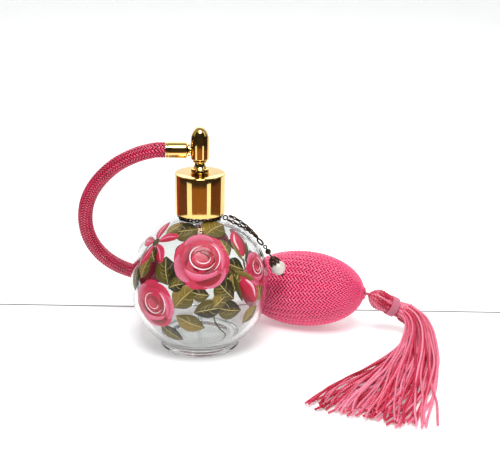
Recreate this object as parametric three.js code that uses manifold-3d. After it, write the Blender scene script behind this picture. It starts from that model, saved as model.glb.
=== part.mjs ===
// A round glass perfume bottle with a squeeze-bulb atomizer, in millimetres, +Z up.
// The origin is the centre of the underside of the foot. The hose leaves the head towards -X
// and comes back behind the bottle to the bulb, which lies behind it on the right.
import * as THREE from "three";
import { mergeVertices } from "three/addons/utils/BufferGeometryUtils.js";
import Module from "manifold-3d";

const wasm = await Module();
wasm.setup();

// ---------------------------------------------------------------- driving dimensions

const GAP = 0.3; // between faces that touch
const RUNNING = 0.35; // radial clearance of what slides or turns
const EDGE = 0.35; // broken edge of a turned piece

// Glass bottle
const GLOBE_R = 30.7;
const SHOULDER_RISE = 32.8; // half height of the upper half, a little taller than round
const GLASS_WALL = 2.2;
const BASE_T = 5.5;
const FOOT_R = 17.9;
const FOOT_H = 3.7; // up to where the globe starts
const FOOT_FLARE = 0.2; // of the globe over the foot, where it starts
const FOOT_ROUND = 1.7;
const NECK_R = 8;
const NECK_WALL = 2;
const NECK_H = 13.5;
const THREAD_DEPTH = 0.7;
const THREAD_W = 1.6;
const THREAD_PITCH = 3.6;
const THREAD_START = 4.5; // first ridge above the foot of the neck

// Closure
const COLLAR_LIFT = 1.8; // from the foot of the neck to the collar's lower rim
const COLLAR_WALL = 0.6;
const COLLAR_TOP_T = 0.8;
const COLLAR_HEADROOM = 0.95; // inside, above the clip
const INSERT_WALL = 1.05;
const INSERT_RECESS = 1;
const GASKET_T = 1.2;
const FITMENT_FLANGE_T = 1.4;
const PLUG_L = 5.5;
const NOSE_R = 2.4;
const NOSE_L = 3;
const SOCKET_DEPTH = 4.5;
const DIP_TUBE_R = 1;
const DIP_TUBE_BORE_R = 0.6;
const DIP_TUBE_END = 1.5; // above the inside of the base

// Swivelling head
const SHANK_R = 3;
const GROOVE_DEPTH = 0.6;
const CLIP_W = 1.9;
const CLIP_T = 0.65;
const FLANGE_R = 4.05;
const FLANGE_T = 1.7;
const STEM_R = 2.35;
const STEM_H = 3.7;
const SPIGOT_R = 1.5;
const SPIGOT_L = 3;
const LIQUID_BORE_R = 0.7;
const HEAD_R = 4.05;
const HEAD_BARREL_H = 8;
const HEAD_NOSE_H = 6.2;
const ARM_RISE = 1; // of the air arm's axis above the end of the stem's spigot
const ARM_SPIGOT_R = 1.3;
const ARM_SPIGOT_L = 2.8;
const ARM_RING_R = 2.75;
const ARM_RING_T = 0.8;
const ARM_TUBE_R = 1.6;
const ARM_TUBE_L = 2.6;
const BARB_R = 1.2;
const BARB_L = 9;
const AIR_BORE_R = 0.6;
const NOZZLE_R = 1.2;
const NOZZLE_T = 1.5;
const JET_R = 0.3;
const JET_BORE_R = 0.5;

// Hose and ferrules
const FERRULE_L = 9.2;
const FERRULE_WALL = 0.75;
const FERRULE_END_T = 1;
const BULB_FERRULE_L = 6.4;
const SLEEVE_WALL = 0.5;
const TUBE_WALL = 0.9;

// Bulb
const BULB_HALF = 30;
const BULB_R = 17.3;
const COVER_T = 0.9;
const BLADDER_T = 1.5;
const VALVE_R = 2.6;
const VALVE_L = 8;
const VALVE_END_T = 0.4; // of a valve body, past the tip of the bulb
const BALL_R = 0.95;
const BALL_TRAVEL = 0.8;
const BALL_SEAT_GAP = 0.15;
const CHAMBER_SIDE = 0.35; // radial room round a valve ball
const CHAMBER_DEPTH = 3; // of a valve's ball chamber from the inner end of its body
const BULB_STAND = 4.92; // of the bulb's middle off the globe, past the two radii
const BULB_AZIMUTH = 25.28; // degrees, of the bulb's middle about +Z from +X
const BULB_HEADING = -26.5; // degrees, of the tassel end about +Z from +X
const BULB_TILT = 5; // degrees, tassel end up

// Tassel
const TIE_R = 0.9;
const TIE_L = 2;
const TASSEL_HEAD_R = 4.6;
const TASSEL_HEAD_L = 9.4;
const TASSEL_CORE_R = 3;
const BAND_R = 4.7;
const BAND_L = 4;
const TASSEL_HEADING = 6; // degrees, of the head about +Z from +X
const TASSEL_DIP = 29; // degrees below level

// Chain and charm
const CHAIN_R = 0.7; // half the width of the chain
const TAIL_R = 0.55;
const TAIL_LOW = 39; // degrees above the widest section of the globe, where the tails end
const TAIL_AZIMUTHS = [5, -20]; // degrees, upper ends of the two tails
const CHARM_AZIMUTH = 5;
const CHARM_ELEVATION = 28;
const CHARM_STAND = 2.2; // of the charm's pivot off the glass
const CHARM_LEAN = 31; // degrees out from hanging straight down
const WIRE_R = 0.35;
const RING_R = 1.05;
const CLASP_R = 1.1;
const CLASP_STRETCH = 1.5;
const BEAD_R = 1.3;
const BEAD_AT = 2.7;
const CAP_R = 2.7;
const CAP_H = 2.4; // above the top of the pearl
const CAP_T = 0.5;
const PEARL_R = 3.3;
const PEARL_AT = 11.7;

// ---------------------------------------------------------------- what fits together

const radians = THREE.MathUtils.degToRad;
const riseOver = (r, radius, rise) => rise * Math.sqrt(1 - (r / radius) ** 2);
const globeZ = FOOT_H + riseOver(FOOT_R + FOOT_FLARE, GLOBE_R, GLOBE_R); // the widest section
const neckBoreR = NECK_R - NECK_WALL;
const neckZ = globeZ + riseOver(NECK_R, GLOBE_R, SHOULDER_RISE);
const neckTop = neckZ + NECK_H;
const collarBottom = neckZ + COLLAR_LIFT;
const insertBoreR = NECK_R + THREAD_DEPTH + RUNNING;
const insertR = insertBoreR + INSERT_WALL;
const collarR = insertR + GAP + COLLAR_WALL;
const gasketZ = neckTop + GAP;
const flangeZ = gasketZ + GASKET_T + GAP;
const fitmentTop = flangeZ + FITMENT_FLANGE_T;
const plugR = neckBoreR - RUNNING;
const plugBottom = neckTop - PLUG_L;
const clipZ = fitmentTop + 2 * GAP;
const collarTop = clipZ + CLIP_T + COLLAR_HEADROOM + COLLAR_TOP_T;
const swivelZ = collarTop + GAP;
const headZ = swivelZ + FLANGE_T + STEM_H + GAP;
const armZ = headZ + SPIGOT_L + ARM_RISE;
const ringEnd = HEAD_R + GAP + ARM_RING_T;
const ferruleStart = ringEnd + GAP;
const ferruleEnd = ferruleStart + FERRULE_L;
const tubeStart = ringEnd + ARM_TUBE_L + GAP;
const barbEnd = ringEnd + ARM_TUBE_L + BARB_L;
const tubeR = BARB_R + GAP + TUBE_WALL;
const hoseR = tubeR + RUNNING + SLEEVE_WALL;
const ferruleR = tubeR + RUNNING + FERRULE_WALL;
const valveEnd = BULB_HALF + VALVE_END_T;
const bulbFerruleStart = valveEnd + GAP;
const bulbFerruleEnd = bulbFerruleStart + BULB_FERRULE_L;
const neckChainR = NECK_R + RUNNING + GAP + CHAIN_R;
const joinR = neckChainR + CHAIN_R + GAP + RING_R + WIRE_R; // out to the ring that joins the tails
const joinUp = Math.acos(joinR / (GLOBE_R + RING_R + WIRE_R + GAP));
const tailHigh = Math.acos((joinR + RING_R + WIRE_R) / (GLOBE_R + TAIL_R + GAP));

// The bulb's own frame has +X along its axis towards the tassel. Its lowest point is on the surface.
const tilt = radians(BULB_TILT);
const bulbZ = Math.hypot(BULB_HALF * Math.sin(tilt), BULB_R * Math.cos(tilt));
const bulbReach = GLOBE_R + BULB_R + BULB_STAND;
const bulbFrame = new THREE.Group();
bulbFrame.rotation.set(0, -tilt, radians(BULB_HEADING), "ZYX");
bulbFrame.position.set(
  bulbReach * Math.cos(radians(BULB_AZIMUTH)),
  bulbReach * Math.sin(radians(BULB_AZIMUTH)),
  bulbZ,
);
bulbFrame.updateMatrixWorld(true);
const onBulbAxis = (x) => bulbFrame.localToWorld(new THREE.Vector3(x, 0, 0));

// The tassel's own frame starts off the tip of the bulb, with +X along the tassel's head.
const tasselFrame = new THREE.Group();
tasselFrame.rotation.set(0, radians(TASSEL_DIP), radians(TASSEL_HEADING), "ZYX");
tasselFrame.position.copy(onBulbAxis(valveEnd + GAP + TIE_R));
tasselFrame.updateMatrixWorld(true);
const tasselHeadX = TIE_L + GAP;
const bandX = tasselHeadX + TASSEL_HEAD_L + GAP;
const skirtX = bandX + BAND_L + GAP;
const skirtStart = tasselFrame.localToWorld(new THREE.Vector3(skirtX, 0, 0));

// Middle line of the hose between the two ferrules, chosen by hand.
const hoseROUTE = [
  [-21.5, 0.5, 89.2],
  [-26, 1.3, 87.8],
  [-30.5, 2.4, 85.7],
  [-35, 3.6, 83],
  [-39.3, 5, 79.5],
  [-43.8, 6.8, 74.6],
  [-47.5, 8.8, 69],
  [-50, 10.8, 62.9],
  [-51.2, 13, 56.2],
  [-51, 15.2, 49.4],
  [-49.4, 17.6, 43],
  [-46.8, 20, 37.6],
  [-43.4, 22.6, 32.8],
  [-38.8, 25.8, 28.2],
  [-33, 29.8, 24],
  [-26, 34, 20.4],
  [-18, 37.8, 17.6],
  [-9.5, 40.9, 15.4],
  [-1, 42.6, 14.2],
  [7, 42.3, 13.8],
].map((p) => new THREE.Vector3(...p));

// The skirt of the tassel as cross-sections: x and y from the end of the band, height of the middle
// above the surface, half width and half height. The first one sits on the band.
const SKIRT_SECTIONS = [
  [4.5, -0.6, 10.2, 5.2, 4.8],
  [8.4, -5.5, 8, 6.2, 5],
  [9, -14, 6, 7.4, 4.8],
  [6.6, -25, 4.6, 9.4, 4],
  [2, -38, 3.5, 12.6, 3.1],
  [-5, -52, 2.7, 17.2, 2.3],
  [-12.6, -66, 2.2, 22.4, 1.8],
  [-20.5, -79, 1.9, 25.5, 1.5],
  [-24, -87, 1.8, 25.5, 1.4],
];

// ---------------------------------------------------------------- helpers

const finish = (color, metalness, roughness) => ({ color, metalness, roughness });
const GLASS = finish(0xe9f0ee, 0, 0.05);
const GOLD = finish(0xd9a441, 1, 0.12);
const BRONZE = finish(0x4a3c25, 1, 0.45);
const PEARL = finish(0xf4f1ec, 0, 0.25);
const PLASTIC = finish(0xe8e6e0, 0, 0.4);
const RUBBER = finish(0x2c2a2b, 0, 0.7);
const BRAID = finish(0xd23c66, 0, 0.6);
const SATIN = finish(0xe2577c, 0, 0.45);
const STEEL = finish(0xb9bcc0, 1, 0.25);

function piece(name, geometry, look) {
  const mesh = new THREE.Mesh(geometry, new THREE.MeshStandardMaterial(look));
  mesh.name = name;
  return mesh;
}

function group(...children) {
  const made = new THREE.Group();
  made.add(...children);
  return made;
}

// A turned solid about +Z from [radius, height] points, listed from its lowest face outwards and up.
function turned(points, segments = 20) {
  const profile = points.map(([r, z]) => new THREE.Vector2(r, z));
  return new THREE.LatheGeometry(profile, segments).rotateX(Math.PI / 2);
}

// A turned ring or tube: the profile's last point joins its first.
const turnedRing = (points, segments) => turned([...points, points[0]], segments);

// The same about +X, with heights along +X.
const alongX = (geometry) => geometry.rotateY(Math.PI / 2);

const sleeve = (inner, outer, low, high, segments) =>
  turnedRing([[inner, low], [outer, low], [outer, high], [inner, high]], segments);

// Points on an ellipse about [0, middle], from one angle to another (radians, 0 is straight out).
function arc(radius, rise, middle, from, to, steps) {
  return Array.from({ length: steps + 1 }, (_, i) => {
    const a = from + ((to - from) * i) / steps;
    return [radius * Math.cos(a), middle + rise * Math.sin(a)];
  });
}

function circle(radius, sides) {
  const shape = new THREE.Shape();
  for (let i = 0; i < sides; i++) {
    const a = (2 * Math.PI * i) / sides;
    shape[i ? "lineTo" : "moveTo"](radius * Math.cos(a), radius * Math.sin(a));
  }
  return shape;
}

// A cord or tube of round section along a smooth curve through points.
function cord(points, radius, boreRadius, sides, steps) {
  const section = circle(radius, sides);
  if (boreRadius > 0) section.holes.push(circle(boreRadius, sides));
  const extrudePath = new THREE.CatmullRomCurve3(points);
  return new THREE.ExtrudeGeometry(section, { steps, extrudePath });
}

function solid(geometry) {
  const bare = geometry.index ? geometry.toNonIndexed() : geometry.clone();
  bare.deleteAttribute("normal");
  bare.deleteAttribute("uv");
  const merged = mergeVertices(bare, 1e-4);
  const mesh = new wasm.Mesh({
    numProp: 3,
    vertProperties: merged.attributes.position.array,
    triVerts: new Uint32Array(merged.index.array),
  });
  return new wasm.Manifold(mesh);
}

function cut(geometry, ...tools) {
  const left = tools.reduce((body, tool) => body.subtract(solid(tool)), solid(geometry));
  const mesh = left.getMesh();
  const made = new THREE.BufferGeometry();
  made.setAttribute("position", new THREE.BufferAttribute(new Float32Array(mesh.vertProperties), 3));
  made.setIndex(new THREE.BufferAttribute(new Uint32Array(mesh.triVerts), 1));
  return made;
}

const rod = (radius, low, high, segments = 16) =>
  turned([[0, low], [radius, low], [radius, high], [0, high]], segments);

// ---------------------------------------------------------------- bottle

function glassBottle() {
  const footWaist = FOOT_R - 2 * FOOT_FLARE;
  const globeStart = -Math.acos((FOOT_R + FOOT_FLARE) / GLOBE_R);
  const neckFillet = 0.6;
  const globeEnd = Math.acos((NECK_R + neckFillet) / GLOBE_R);
  const innerR = GLOBE_R - GLASS_WALL;
  const innerRise = SHOULDER_RISE - GLASS_WALL;
  const baseAngle = Math.asin((BASE_T - globeZ) / innerR);
  const boreAngle = Math.acos(neckBoreR / innerR);
  const lipEdge = Math.min(EDGE, NECK_WALL / 3);
  const ridges = [0, 1].flatMap((i) => {
    const z = neckZ + THREAD_START + i * THREAD_PITCH;
    const crest = NECK_R + THREAD_DEPTH;
    return [[NECK_R, z], [crest, z + THREAD_W / 3], [crest, z + (2 * THREAD_W) / 3], [NECK_R, z + THREAD_W]];
  });
  return turned(
    [
      [0, 0],
      [FOOT_R - FOOT_ROUND, 0],
      [FOOT_R - FOOT_ROUND / 3, FOOT_ROUND / 4],
      [FOOT_R, FOOT_ROUND],
      [FOOT_R, (FOOT_ROUND + FOOT_H) / 2],
      [footWaist, FOOT_H - 0.1],
      ...arc(GLOBE_R, GLOBE_R, globeZ, globeStart, 0, 7).slice(0, -1),
      ...arc(GLOBE_R, SHOULDER_RISE, globeZ, 0, globeEnd, 9),
      [NECK_R, neckZ + neckFillet],
      ...ridges,
      [NECK_R, neckTop - lipEdge],
      [NECK_R - lipEdge, neckTop],
      [neckBoreR + lipEdge, neckTop],
      [neckBoreR, neckTop - lipEdge],
      ...arc(innerR, innerRise, globeZ, boreAngle, 0, 7),
      ...arc(innerR, innerR, globeZ, 0, baseAngle, 5).slice(1),
      [0, BASE_T],
    ],
    32,
  );
}

// ---------------------------------------------------------------- closure

function collarShell() {
  const inner = collarR - COLLAR_WALL;
  const hole = SHANK_R + RUNNING;
  return turnedRing(
    [
      [inner, collarBottom],
      [collarR - EDGE, collarBottom],
      [collarR, collarBottom + EDGE],
      [collarR, collarTop - EDGE],
      [collarR - EDGE, collarTop],
      [hole, collarTop],
      [hole, collarTop - COLLAR_TOP_T],
      [inner, collarTop - COLLAR_TOP_T],
    ],
    32,
  );
}

function collarInsert() {
  return sleeve(insertBoreR, insertR, collarBottom + INSERT_RECESS, collarTop - COLLAR_TOP_T - GAP, 28);
}

const neckGasket = () => sleeve(plugR + GAP, NECK_R, gasketZ, gasketZ + GASKET_T);

function siphonFitment() {
  const flangeR = insertBoreR - RUNNING;
  const socketR = SHANK_R + RUNNING;
  const bore = DIP_TUBE_R + GAP;
  const socketZ = fitmentTop - SOCKET_DEPTH;
  return turnedRing([
    [bore, plugBottom - NOSE_L],
    [NOSE_R, plugBottom - NOSE_L],
    [NOSE_R, plugBottom],
    [plugR, plugBottom],
    [plugR, flangeZ],
    [flangeR, flangeZ],
    [flangeR, fitmentTop],
    [socketR, fitmentTop],
    [socketR, socketZ],
    [bore, socketZ],
  ]);
}

function dipTube() {
  return sleeve(DIP_TUBE_BORE_R, DIP_TUBE_R, BASE_T + DIP_TUBE_END, plugBottom - GAP, 16);
}

// ---------------------------------------------------------------- head

function swivelShank() {
  const low = fitmentTop - SOCKET_DEPTH + GAP;
  const grooveR = SHANK_R - GROOVE_DEPTH;
  const groove = [clipZ - GAP, clipZ + CLIP_T + GAP];
  const flangeTop = swivelZ + FLANGE_T;
  const stemTop = flangeTop + STEM_H;
  return turnedRing([
    [LIQUID_BORE_R, low],
    [SHANK_R - EDGE, low],
    [SHANK_R, low + EDGE],
    [SHANK_R, groove[0]],
    [grooveR, groove[0]],
    [grooveR, groove[1]],
    [SHANK_R, groove[1]],
    [SHANK_R, swivelZ],
    [FLANGE_R, swivelZ],
    [FLANGE_R, flangeTop - EDGE],
    [FLANGE_R - EDGE, flangeTop],
    [STEM_R + EDGE, flangeTop + EDGE],
    [STEM_R, flangeTop + 3 * EDGE],
    [STEM_R, stemTop],
    [SPIGOT_R, stemTop],
    [SPIGOT_R, stemTop + SPIGOT_L],
    [LIQUID_BORE_R, stemTop + SPIGOT_L],
  ]);
}

function retainingClip() {
  const inner = SHANK_R - GROOVE_DEPTH + GAP;
  return sleeve(inner, inner + CLIP_W, clipZ, clipZ + CLIP_T, 24);
}

function atomizerHead() {
  const barrelTop = headZ + HEAD_BARREL_H;
  const bullet = turned([
    [0, headZ],
    [HEAD_R - EDGE, headZ],
    [HEAD_R, headZ + EDGE],
    ...arc(HEAD_R, HEAD_NOSE_H, barrelTop, 0, Math.PI / 2, 6).slice(0, -1),
    [0, barrelTop + HEAD_NOSE_H],
  ]);
  const passage = (radius, from, to) => alongX(rod(radius, from, to)).translate(0, 0, armZ);
  return cut(
    bullet,
    rod(SPIGOT_R + GAP, headZ - 1, headZ + SPIGOT_L),
    rod(LIQUID_BORE_R, headZ, armZ, 16),
    passage(ARM_SPIGOT_R + GAP, -HEAD_R - 1, ARM_SPIGOT_L - HEAD_R),
    passage(JET_BORE_R, -HEAD_R / 2, HEAD_R),
    passage(NOZZLE_R + GAP, HEAD_R - NOZZLE_T - 2 * GAP, HEAD_R + 1),
  );
}

function nozzleInsert() {
  const outer = HEAD_R - GAP;
  return alongX(sleeve(JET_R, NOZZLE_R, outer - NOZZLE_T, outer, 20)).translate(0, 0, armZ);
}

// Lathe heights of the air arm and its ferrule run outwards from the bottle's axis, towards -X.
const onArm = (geometry) => geometry.rotateY(-Math.PI / 2).translate(0, 0, armZ);

function airArm() {
  const ringStart = HEAD_R + GAP;
  const tubeEnd = ringEnd + ARM_TUBE_L;
  return onArm(
    turnedRing([
      [AIR_BORE_R, ringStart - ARM_SPIGOT_L],
      [ARM_SPIGOT_R, ringStart - ARM_SPIGOT_L],
      [ARM_SPIGOT_R, ringStart],
      [ARM_RING_R - EDGE / 2, ringStart],
      [ARM_RING_R, ringStart + EDGE],
      [ARM_RING_R, ringEnd - EDGE / 2],
      [ARM_RING_R - EDGE, ringEnd],
      [ARM_TUBE_R, ringEnd],
      [ARM_TUBE_R, tubeEnd],
      [BARB_R, tubeEnd],
      [BARB_R, barbEnd],
      [AIR_BORE_R, barbEnd],
    ]),
  );
}

// A drawn cap over the end of the hose, its closed end at start.
function ferrule(start, length, holeR) {
  const inner = ferruleR - FERRULE_WALL;
  const corner = 3 * EDGE;
  return turnedRing([
    [holeR, start],
    [ferruleR - corner, start],
    [ferruleR - EDGE, start + EDGE],
    [ferruleR, start + corner],
    [ferruleR, start + length],
    [inner, start + length],
    [inner, start + FERRULE_END_T],
    [holeR, start + FERRULE_END_T],
  ]);
}

// ---------------------------------------------------------------- hose

const onArmAxis = (x) => new THREE.Vector3(-x, 0, armZ);

// The hose leaves both ferrules square, on a short straight stretch.
const mouth = GAP / 2;
const leadIn = [0, hoseR / 2, hoseR].map((x) => onArmAxis(ferruleEnd + GAP + mouth + x));
const leadOut = [hoseR, hoseR / 2, 0].map((x) => onBulbAxis(-bulbFerruleEnd - GAP - mouth - x));

function hoseSleeve() {
  return cord([...leadIn, ...hoseROUTE, ...leadOut], hoseR, hoseR - SLEEVE_WALL, 8, 42);
}

function hoseTube() {
  const start = onArmAxis(tubeStart);
  const end = onBulbAxis(-bulbFerruleStart - FERRULE_END_T - GAP);
  return cord([start, ...leadIn, ...hoseROUTE, ...leadOut, end], tubeR, BARB_R + GAP, 8, 44);
}

// ---------------------------------------------------------------- bulb

// A thin egg-shaped shell about +X, open at both ends round the valve bodies.
function bulbShell(half, radius, wall, steps) {
  const hole = VALVE_R + GAP;
  const outerEnd = Math.acos(hole / radius);
  const innerEnd = Math.acos(hole / (radius - wall));
  return alongX(
    turnedRing(
      [
        ...arc(radius, half, 0, -outerEnd, outerEnd, steps),
        ...arc(radius - wall, half - wall, 0, innerEnd, -innerEnd, steps),
      ],
      24,
    ),
  );
}

const chamberR = BALL_R + CHAMBER_SIDE;
const chamberL = 2 * (BALL_R + BALL_SEAT_GAP) + BALL_TRAVEL;

// A valve body about +X: bored through, with a wider chamber for its ball, a barb past the bulb
// when it feeds the hose, and its outer end at +X.
function valveBody(barb) {
  const inner = valveEnd - VALVE_L;
  const chamberEnd = inner + CHAMBER_DEPTH + chamberL;
  const end = barb
    ? [[BARB_R, valveEnd], [BARB_R, valveEnd + BULB_FERRULE_L], [AIR_BORE_R, valveEnd + BULB_FERRULE_L]]
    : [[AIR_BORE_R, valveEnd]];
  return alongX(
    turnedRing([
      [AIR_BORE_R, inner],
      [VALVE_R, inner],
      [VALVE_R, valveEnd],
      ...end,
      [AIR_BORE_R, chamberEnd],
      [chamberR, chamberEnd],
      [chamberR, inner + CHAMBER_DEPTH],
      [AIR_BORE_R, inner + CHAMBER_DEPTH],
    ]),
  );
}

// A ball rests against the end of the chamber that its valve closes: low is the end nearer the
// middle of the bulb.
function valveBall(low) {
  const inner = valveEnd - VALVE_L + CHAMBER_DEPTH;
  const seat = low ? BALL_R + BALL_SEAT_GAP : chamberL - BALL_R - BALL_SEAT_GAP;
  return new THREE.SphereGeometry(BALL_R, 12, 8).translate(inner + seat, 0, 0);
}

// ---------------------------------------------------------------- tassel

function tasselHead() {
  const middle = tasselHeadX + TASSEL_HEAD_L / 2;
  const bandEnd = bandX + BAND_L;
  const high = Math.acos((TASSEL_CORE_R + GAP) / TASSEL_HEAD_R);
  return alongX(
    turned(
      [
        [0, middle - TASSEL_HEAD_L / 2],
        ...arc(TASSEL_HEAD_R, TASSEL_HEAD_L / 2, middle, -radians(75), high, 9),
        [TASSEL_CORE_R, bandX - GAP],
        [TASSEL_CORE_R, bandEnd],
        [0, bandEnd],
      ],
      24,
    ),
  );
}

function tasselBand() {
  const inner = TASSEL_CORE_R + GAP;
  return alongX(
    turnedRing(
      [
        [inner, bandX],
        [BAND_R - EDGE, bandX],
        [BAND_R, bandX + 2 * EDGE],
        [BAND_R, bandX + BAND_L - 2 * EDGE],
        [BAND_R - EDGE, bandX + BAND_L],
        [inner, bandX + BAND_L],
      ],
      24,
    ),
  );
}

// The skirt's outer shape: a closed cylinder whose rings are moved onto the cross-sections, round at
// the band and spread flat where the strands lie on the surface.
function tasselSkirt() {
  const sections = SKIRT_SECTIONS.map(([x, y, z, w, h]) => ({
    at: new THREE.Vector3(skirtStart.x + x, skirtStart.y + y, z),
    w,
    h,
  }));
  const middles = new THREE.CatmullRomCurve3([skirtStart, ...sections.map((s) => s.at)]);
  const last = sections.length;
  const geometry = new THREE.CylinderGeometry(1, 1, last, 20, last);
  const position = geometry.attributes.position;
  const point = new THREE.Vector3();
  for (let i = 0; i < position.count; i++) {
    point.fromBufferAttribute(position, i);
    const ring = Math.round(last / 2 - point.y);
    if (ring === 0) {
      tasselFrame.localToWorld(point.set(skirtX, BAND_R * point.x, BAND_R * point.z));
    } else {
      const { at, w, h } = sections[ring - 1];
      const along = middles.getTangent(ring / last);
      const across = new THREE.Vector3(-along.y, along.x, 0).normalize();
      const { x: side, z: up } = point;
      point.copy(at).addScaledVector(across, w * side);
      point.z += h * up;
    }
    position.setXYZ(i, point.x, point.y, point.z);
  }
  return geometry;
}

// ---------------------------------------------------------------- chain and charm

// A point off the globe's upper half, from radians up, degrees round and a distance off the glass.
function overGlobe(a, round, off) {
  const r = (GLOBE_R + off) * Math.cos(a);
  const z = globeZ + (SHOULDER_RISE + off) * Math.sin(a);
  return new THREE.Vector3(r * Math.cos(radians(round)), r * Math.sin(radians(round)), z);
}

function neckChain() {
  const onShoulder = globeZ + riseOver(neckChainR - CHAIN_R, GLOBE_R, SHOULDER_RISE);
  return new THREE.TorusGeometry(neckChainR, CHAIN_R, 6, 28).translate(0, 0, onShoulder + CHAIN_R + GAP / 2);
}

// One tail of the chain, lying down the shoulder, drawn in towards the charm at its lower end.
function chainTail(azimuth, endAzimuth) {
  const steps = 7;
  const points = Array.from({ length: steps + 1 }, (_, i) => {
    const t = i / steps;
    const up = tailHigh + (radians(TAIL_LOW) - tailHigh) * t;
    return overGlobe(up, azimuth + (endAzimuth - azimuth) * t, TAIL_R + GAP);
  });
  return cord(points, TAIL_R, 0, 6, 12);
}

const ring = (radius, stretch = 1) =>
  new THREE.TorusGeometry(radius, WIRE_R, 6, 14).scale(1, stretch, 1);

// The charm hangs along its own -Z from its pivot.
function charm() {
  const bore = WIRE_R + GAP;
  const pin = turned([
    [0, -PEARL_AT - PEARL_R - GAP - 0.6],
    [0.9, -PEARL_AT - PEARL_R - GAP - 0.6],
    [0.9, -PEARL_AT - PEARL_R - GAP],
    [WIRE_R, -PEARL_AT - PEARL_R - GAP],
    [WIRE_R, -0.8],
    [0, -0.8],
  ], 12);
  const drilled = (radius, at, segments) => {
    const end = Math.acos(bore / radius);
    return turnedRing(arc(radius, radius, -at, -end, end, 7), segments);
  };
  const cup = PEARL_R + GAP;
  const rim = Math.acos((CAP_R - CAP_T) / cup);
  const rimZ = cup * Math.sin(rim) - PEARL_AT;
  const capTop = cup + CAP_H - PEARL_AT;
  const cap = turnedRing([
    [CAP_R - CAP_T, rimZ],
    [CAP_R, rimZ],
    [CAP_R, rimZ + CAP_T],
    [(CAP_R + bore) / 2, (rimZ + capTop) / 2],
    [bore + CAP_T, capTop],
    [bore, capTop],
    ...arc(cup, cup, -PEARL_AT, Math.acos(bore / cup), rim, 5).slice(0, -1),
  ], 16);
  return group(
    piece("charm_pin", pin, BRONZE),
    piece("bronze_bead", drilled(BEAD_R, BEAD_AT, 12), BRONZE),
    piece("bead_cap", cap, BRONZE),
    piece("pearl", drilled(PEARL_R, PEARL_AT, 20), PEARL),
  );
}

// ---------------------------------------------------------------- assembly

const closure = group(
  piece("neck_gasket", neckGasket(), RUBBER),
  piece("siphon_fitment", siphonFitment(), PLASTIC),
  piece("dip_tube", dipTube(), PLASTIC),
  piece("collar_shell", collarShell(), GOLD),
  piece("collar_insert", collarInsert(), PLASTIC),
);

const head = group(
  piece("swivel_shank", swivelShank(), GOLD),
  piece("retaining_clip", retainingClip(), STEEL),
  piece("atomizer_head", atomizerHead(), GOLD),
  piece("nozzle_insert", nozzleInsert(), GOLD),
  piece("air_arm", airArm(), GOLD),
  piece("hose_ferrule", onArm(ferrule(ferruleStart, FERRULE_L, ARM_TUBE_R + GAP)), GOLD),
  piece("hose_tube", hoseTube(), RUBBER),
  piece("hose_sleeve", hoseSleeve(), BRAID),
);

const bladderHalf = BULB_HALF - COVER_T - GAP;
const bladderR = BULB_R - COVER_T - GAP;
bulbFrame.add(
  piece("bulb_cover", bulbShell(BULB_HALF, BULB_R, COVER_T, 12), BRAID),
  piece("bulb_bladder", bulbShell(bladderHalf, bladderR, BLADDER_T, 10), RUBBER),
  piece("inlet_valve_body", valveBody(false), STEEL),
  piece("inlet_valve_ball", valveBall(false), STEEL),
);
const hoseEnd = group(
  piece("outlet_valve_body", valveBody(true), STEEL),
  piece("outlet_valve_ball", valveBall(true), STEEL),
  piece("bulb_ferrule", alongX(ferrule(bulbFerruleStart, BULB_FERRULE_L, BARB_R + GAP)), GOLD),
);
hoseEnd.rotation.z = Math.PI;
bulbFrame.add(hoseEnd);

const tie = alongX(rod(TIE_R, 0, TIE_L, 12));
tasselFrame.add(
  piece("tassel_tie", tie, SATIN),
  piece("tassel_head", tasselHead(), SATIN),
  piece("tassel_band", tasselBand(), SATIN),
);

const charmPivot = overGlobe(radians(CHARM_ELEVATION), CHARM_AZIMUTH, CHARM_STAND);
const hanging = charm();
hanging.rotation.y = -radians(CHARM_LEAN);
hanging.position.copy(charmPivot);

const joiningRing = piece("joining_ring", ring(RING_R), BRONZE);
joiningRing.position.copy(overGlobe(joinUp, TAIL_AZIMUTHS[1], RING_R + WIRE_R + GAP));
joiningRing.rotation.set(Math.PI / 2, 0, 0);

const claspLink = piece("clasp_link", ring(CLASP_R, CLASP_STRETCH), BRONZE);
const tailEnd = overGlobe(radians(TAIL_LOW), CHARM_AZIMUTH, TAIL_R + GAP);
claspLink.position.lerpVectors(tailEnd, charmPivot, 0.5);
claspLink.quaternion.setFromUnitVectors(
  new THREE.Vector3(0, 1, 0),
  charmPivot.clone().sub(tailEnd).normalize(),
);

const chain = group(
  piece("neck_chain", neckChain(), BRONZE),
  ...TAIL_AZIMUTHS.map((azimuth, i) =>
    piece(`chain_tail_${i + 1}`, chainTail(azimuth, CHARM_AZIMUTH + (i ? -3 : 0)), BRONZE),
  ),
  joiningRing,
  claspLink,
  hanging,
);

export default group(
  piece("glass_bottle", glassBottle(), GLASS),
  closure,
  head,
  bulbFrame,
  tasselFrame,
  piece("tassel_skirt", tasselSkirt(), SATIN),
  chain,
);
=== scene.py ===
import math
import random

import bmesh
import bpy
import numpy as np
from mathutils import Matrix, Vector


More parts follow.
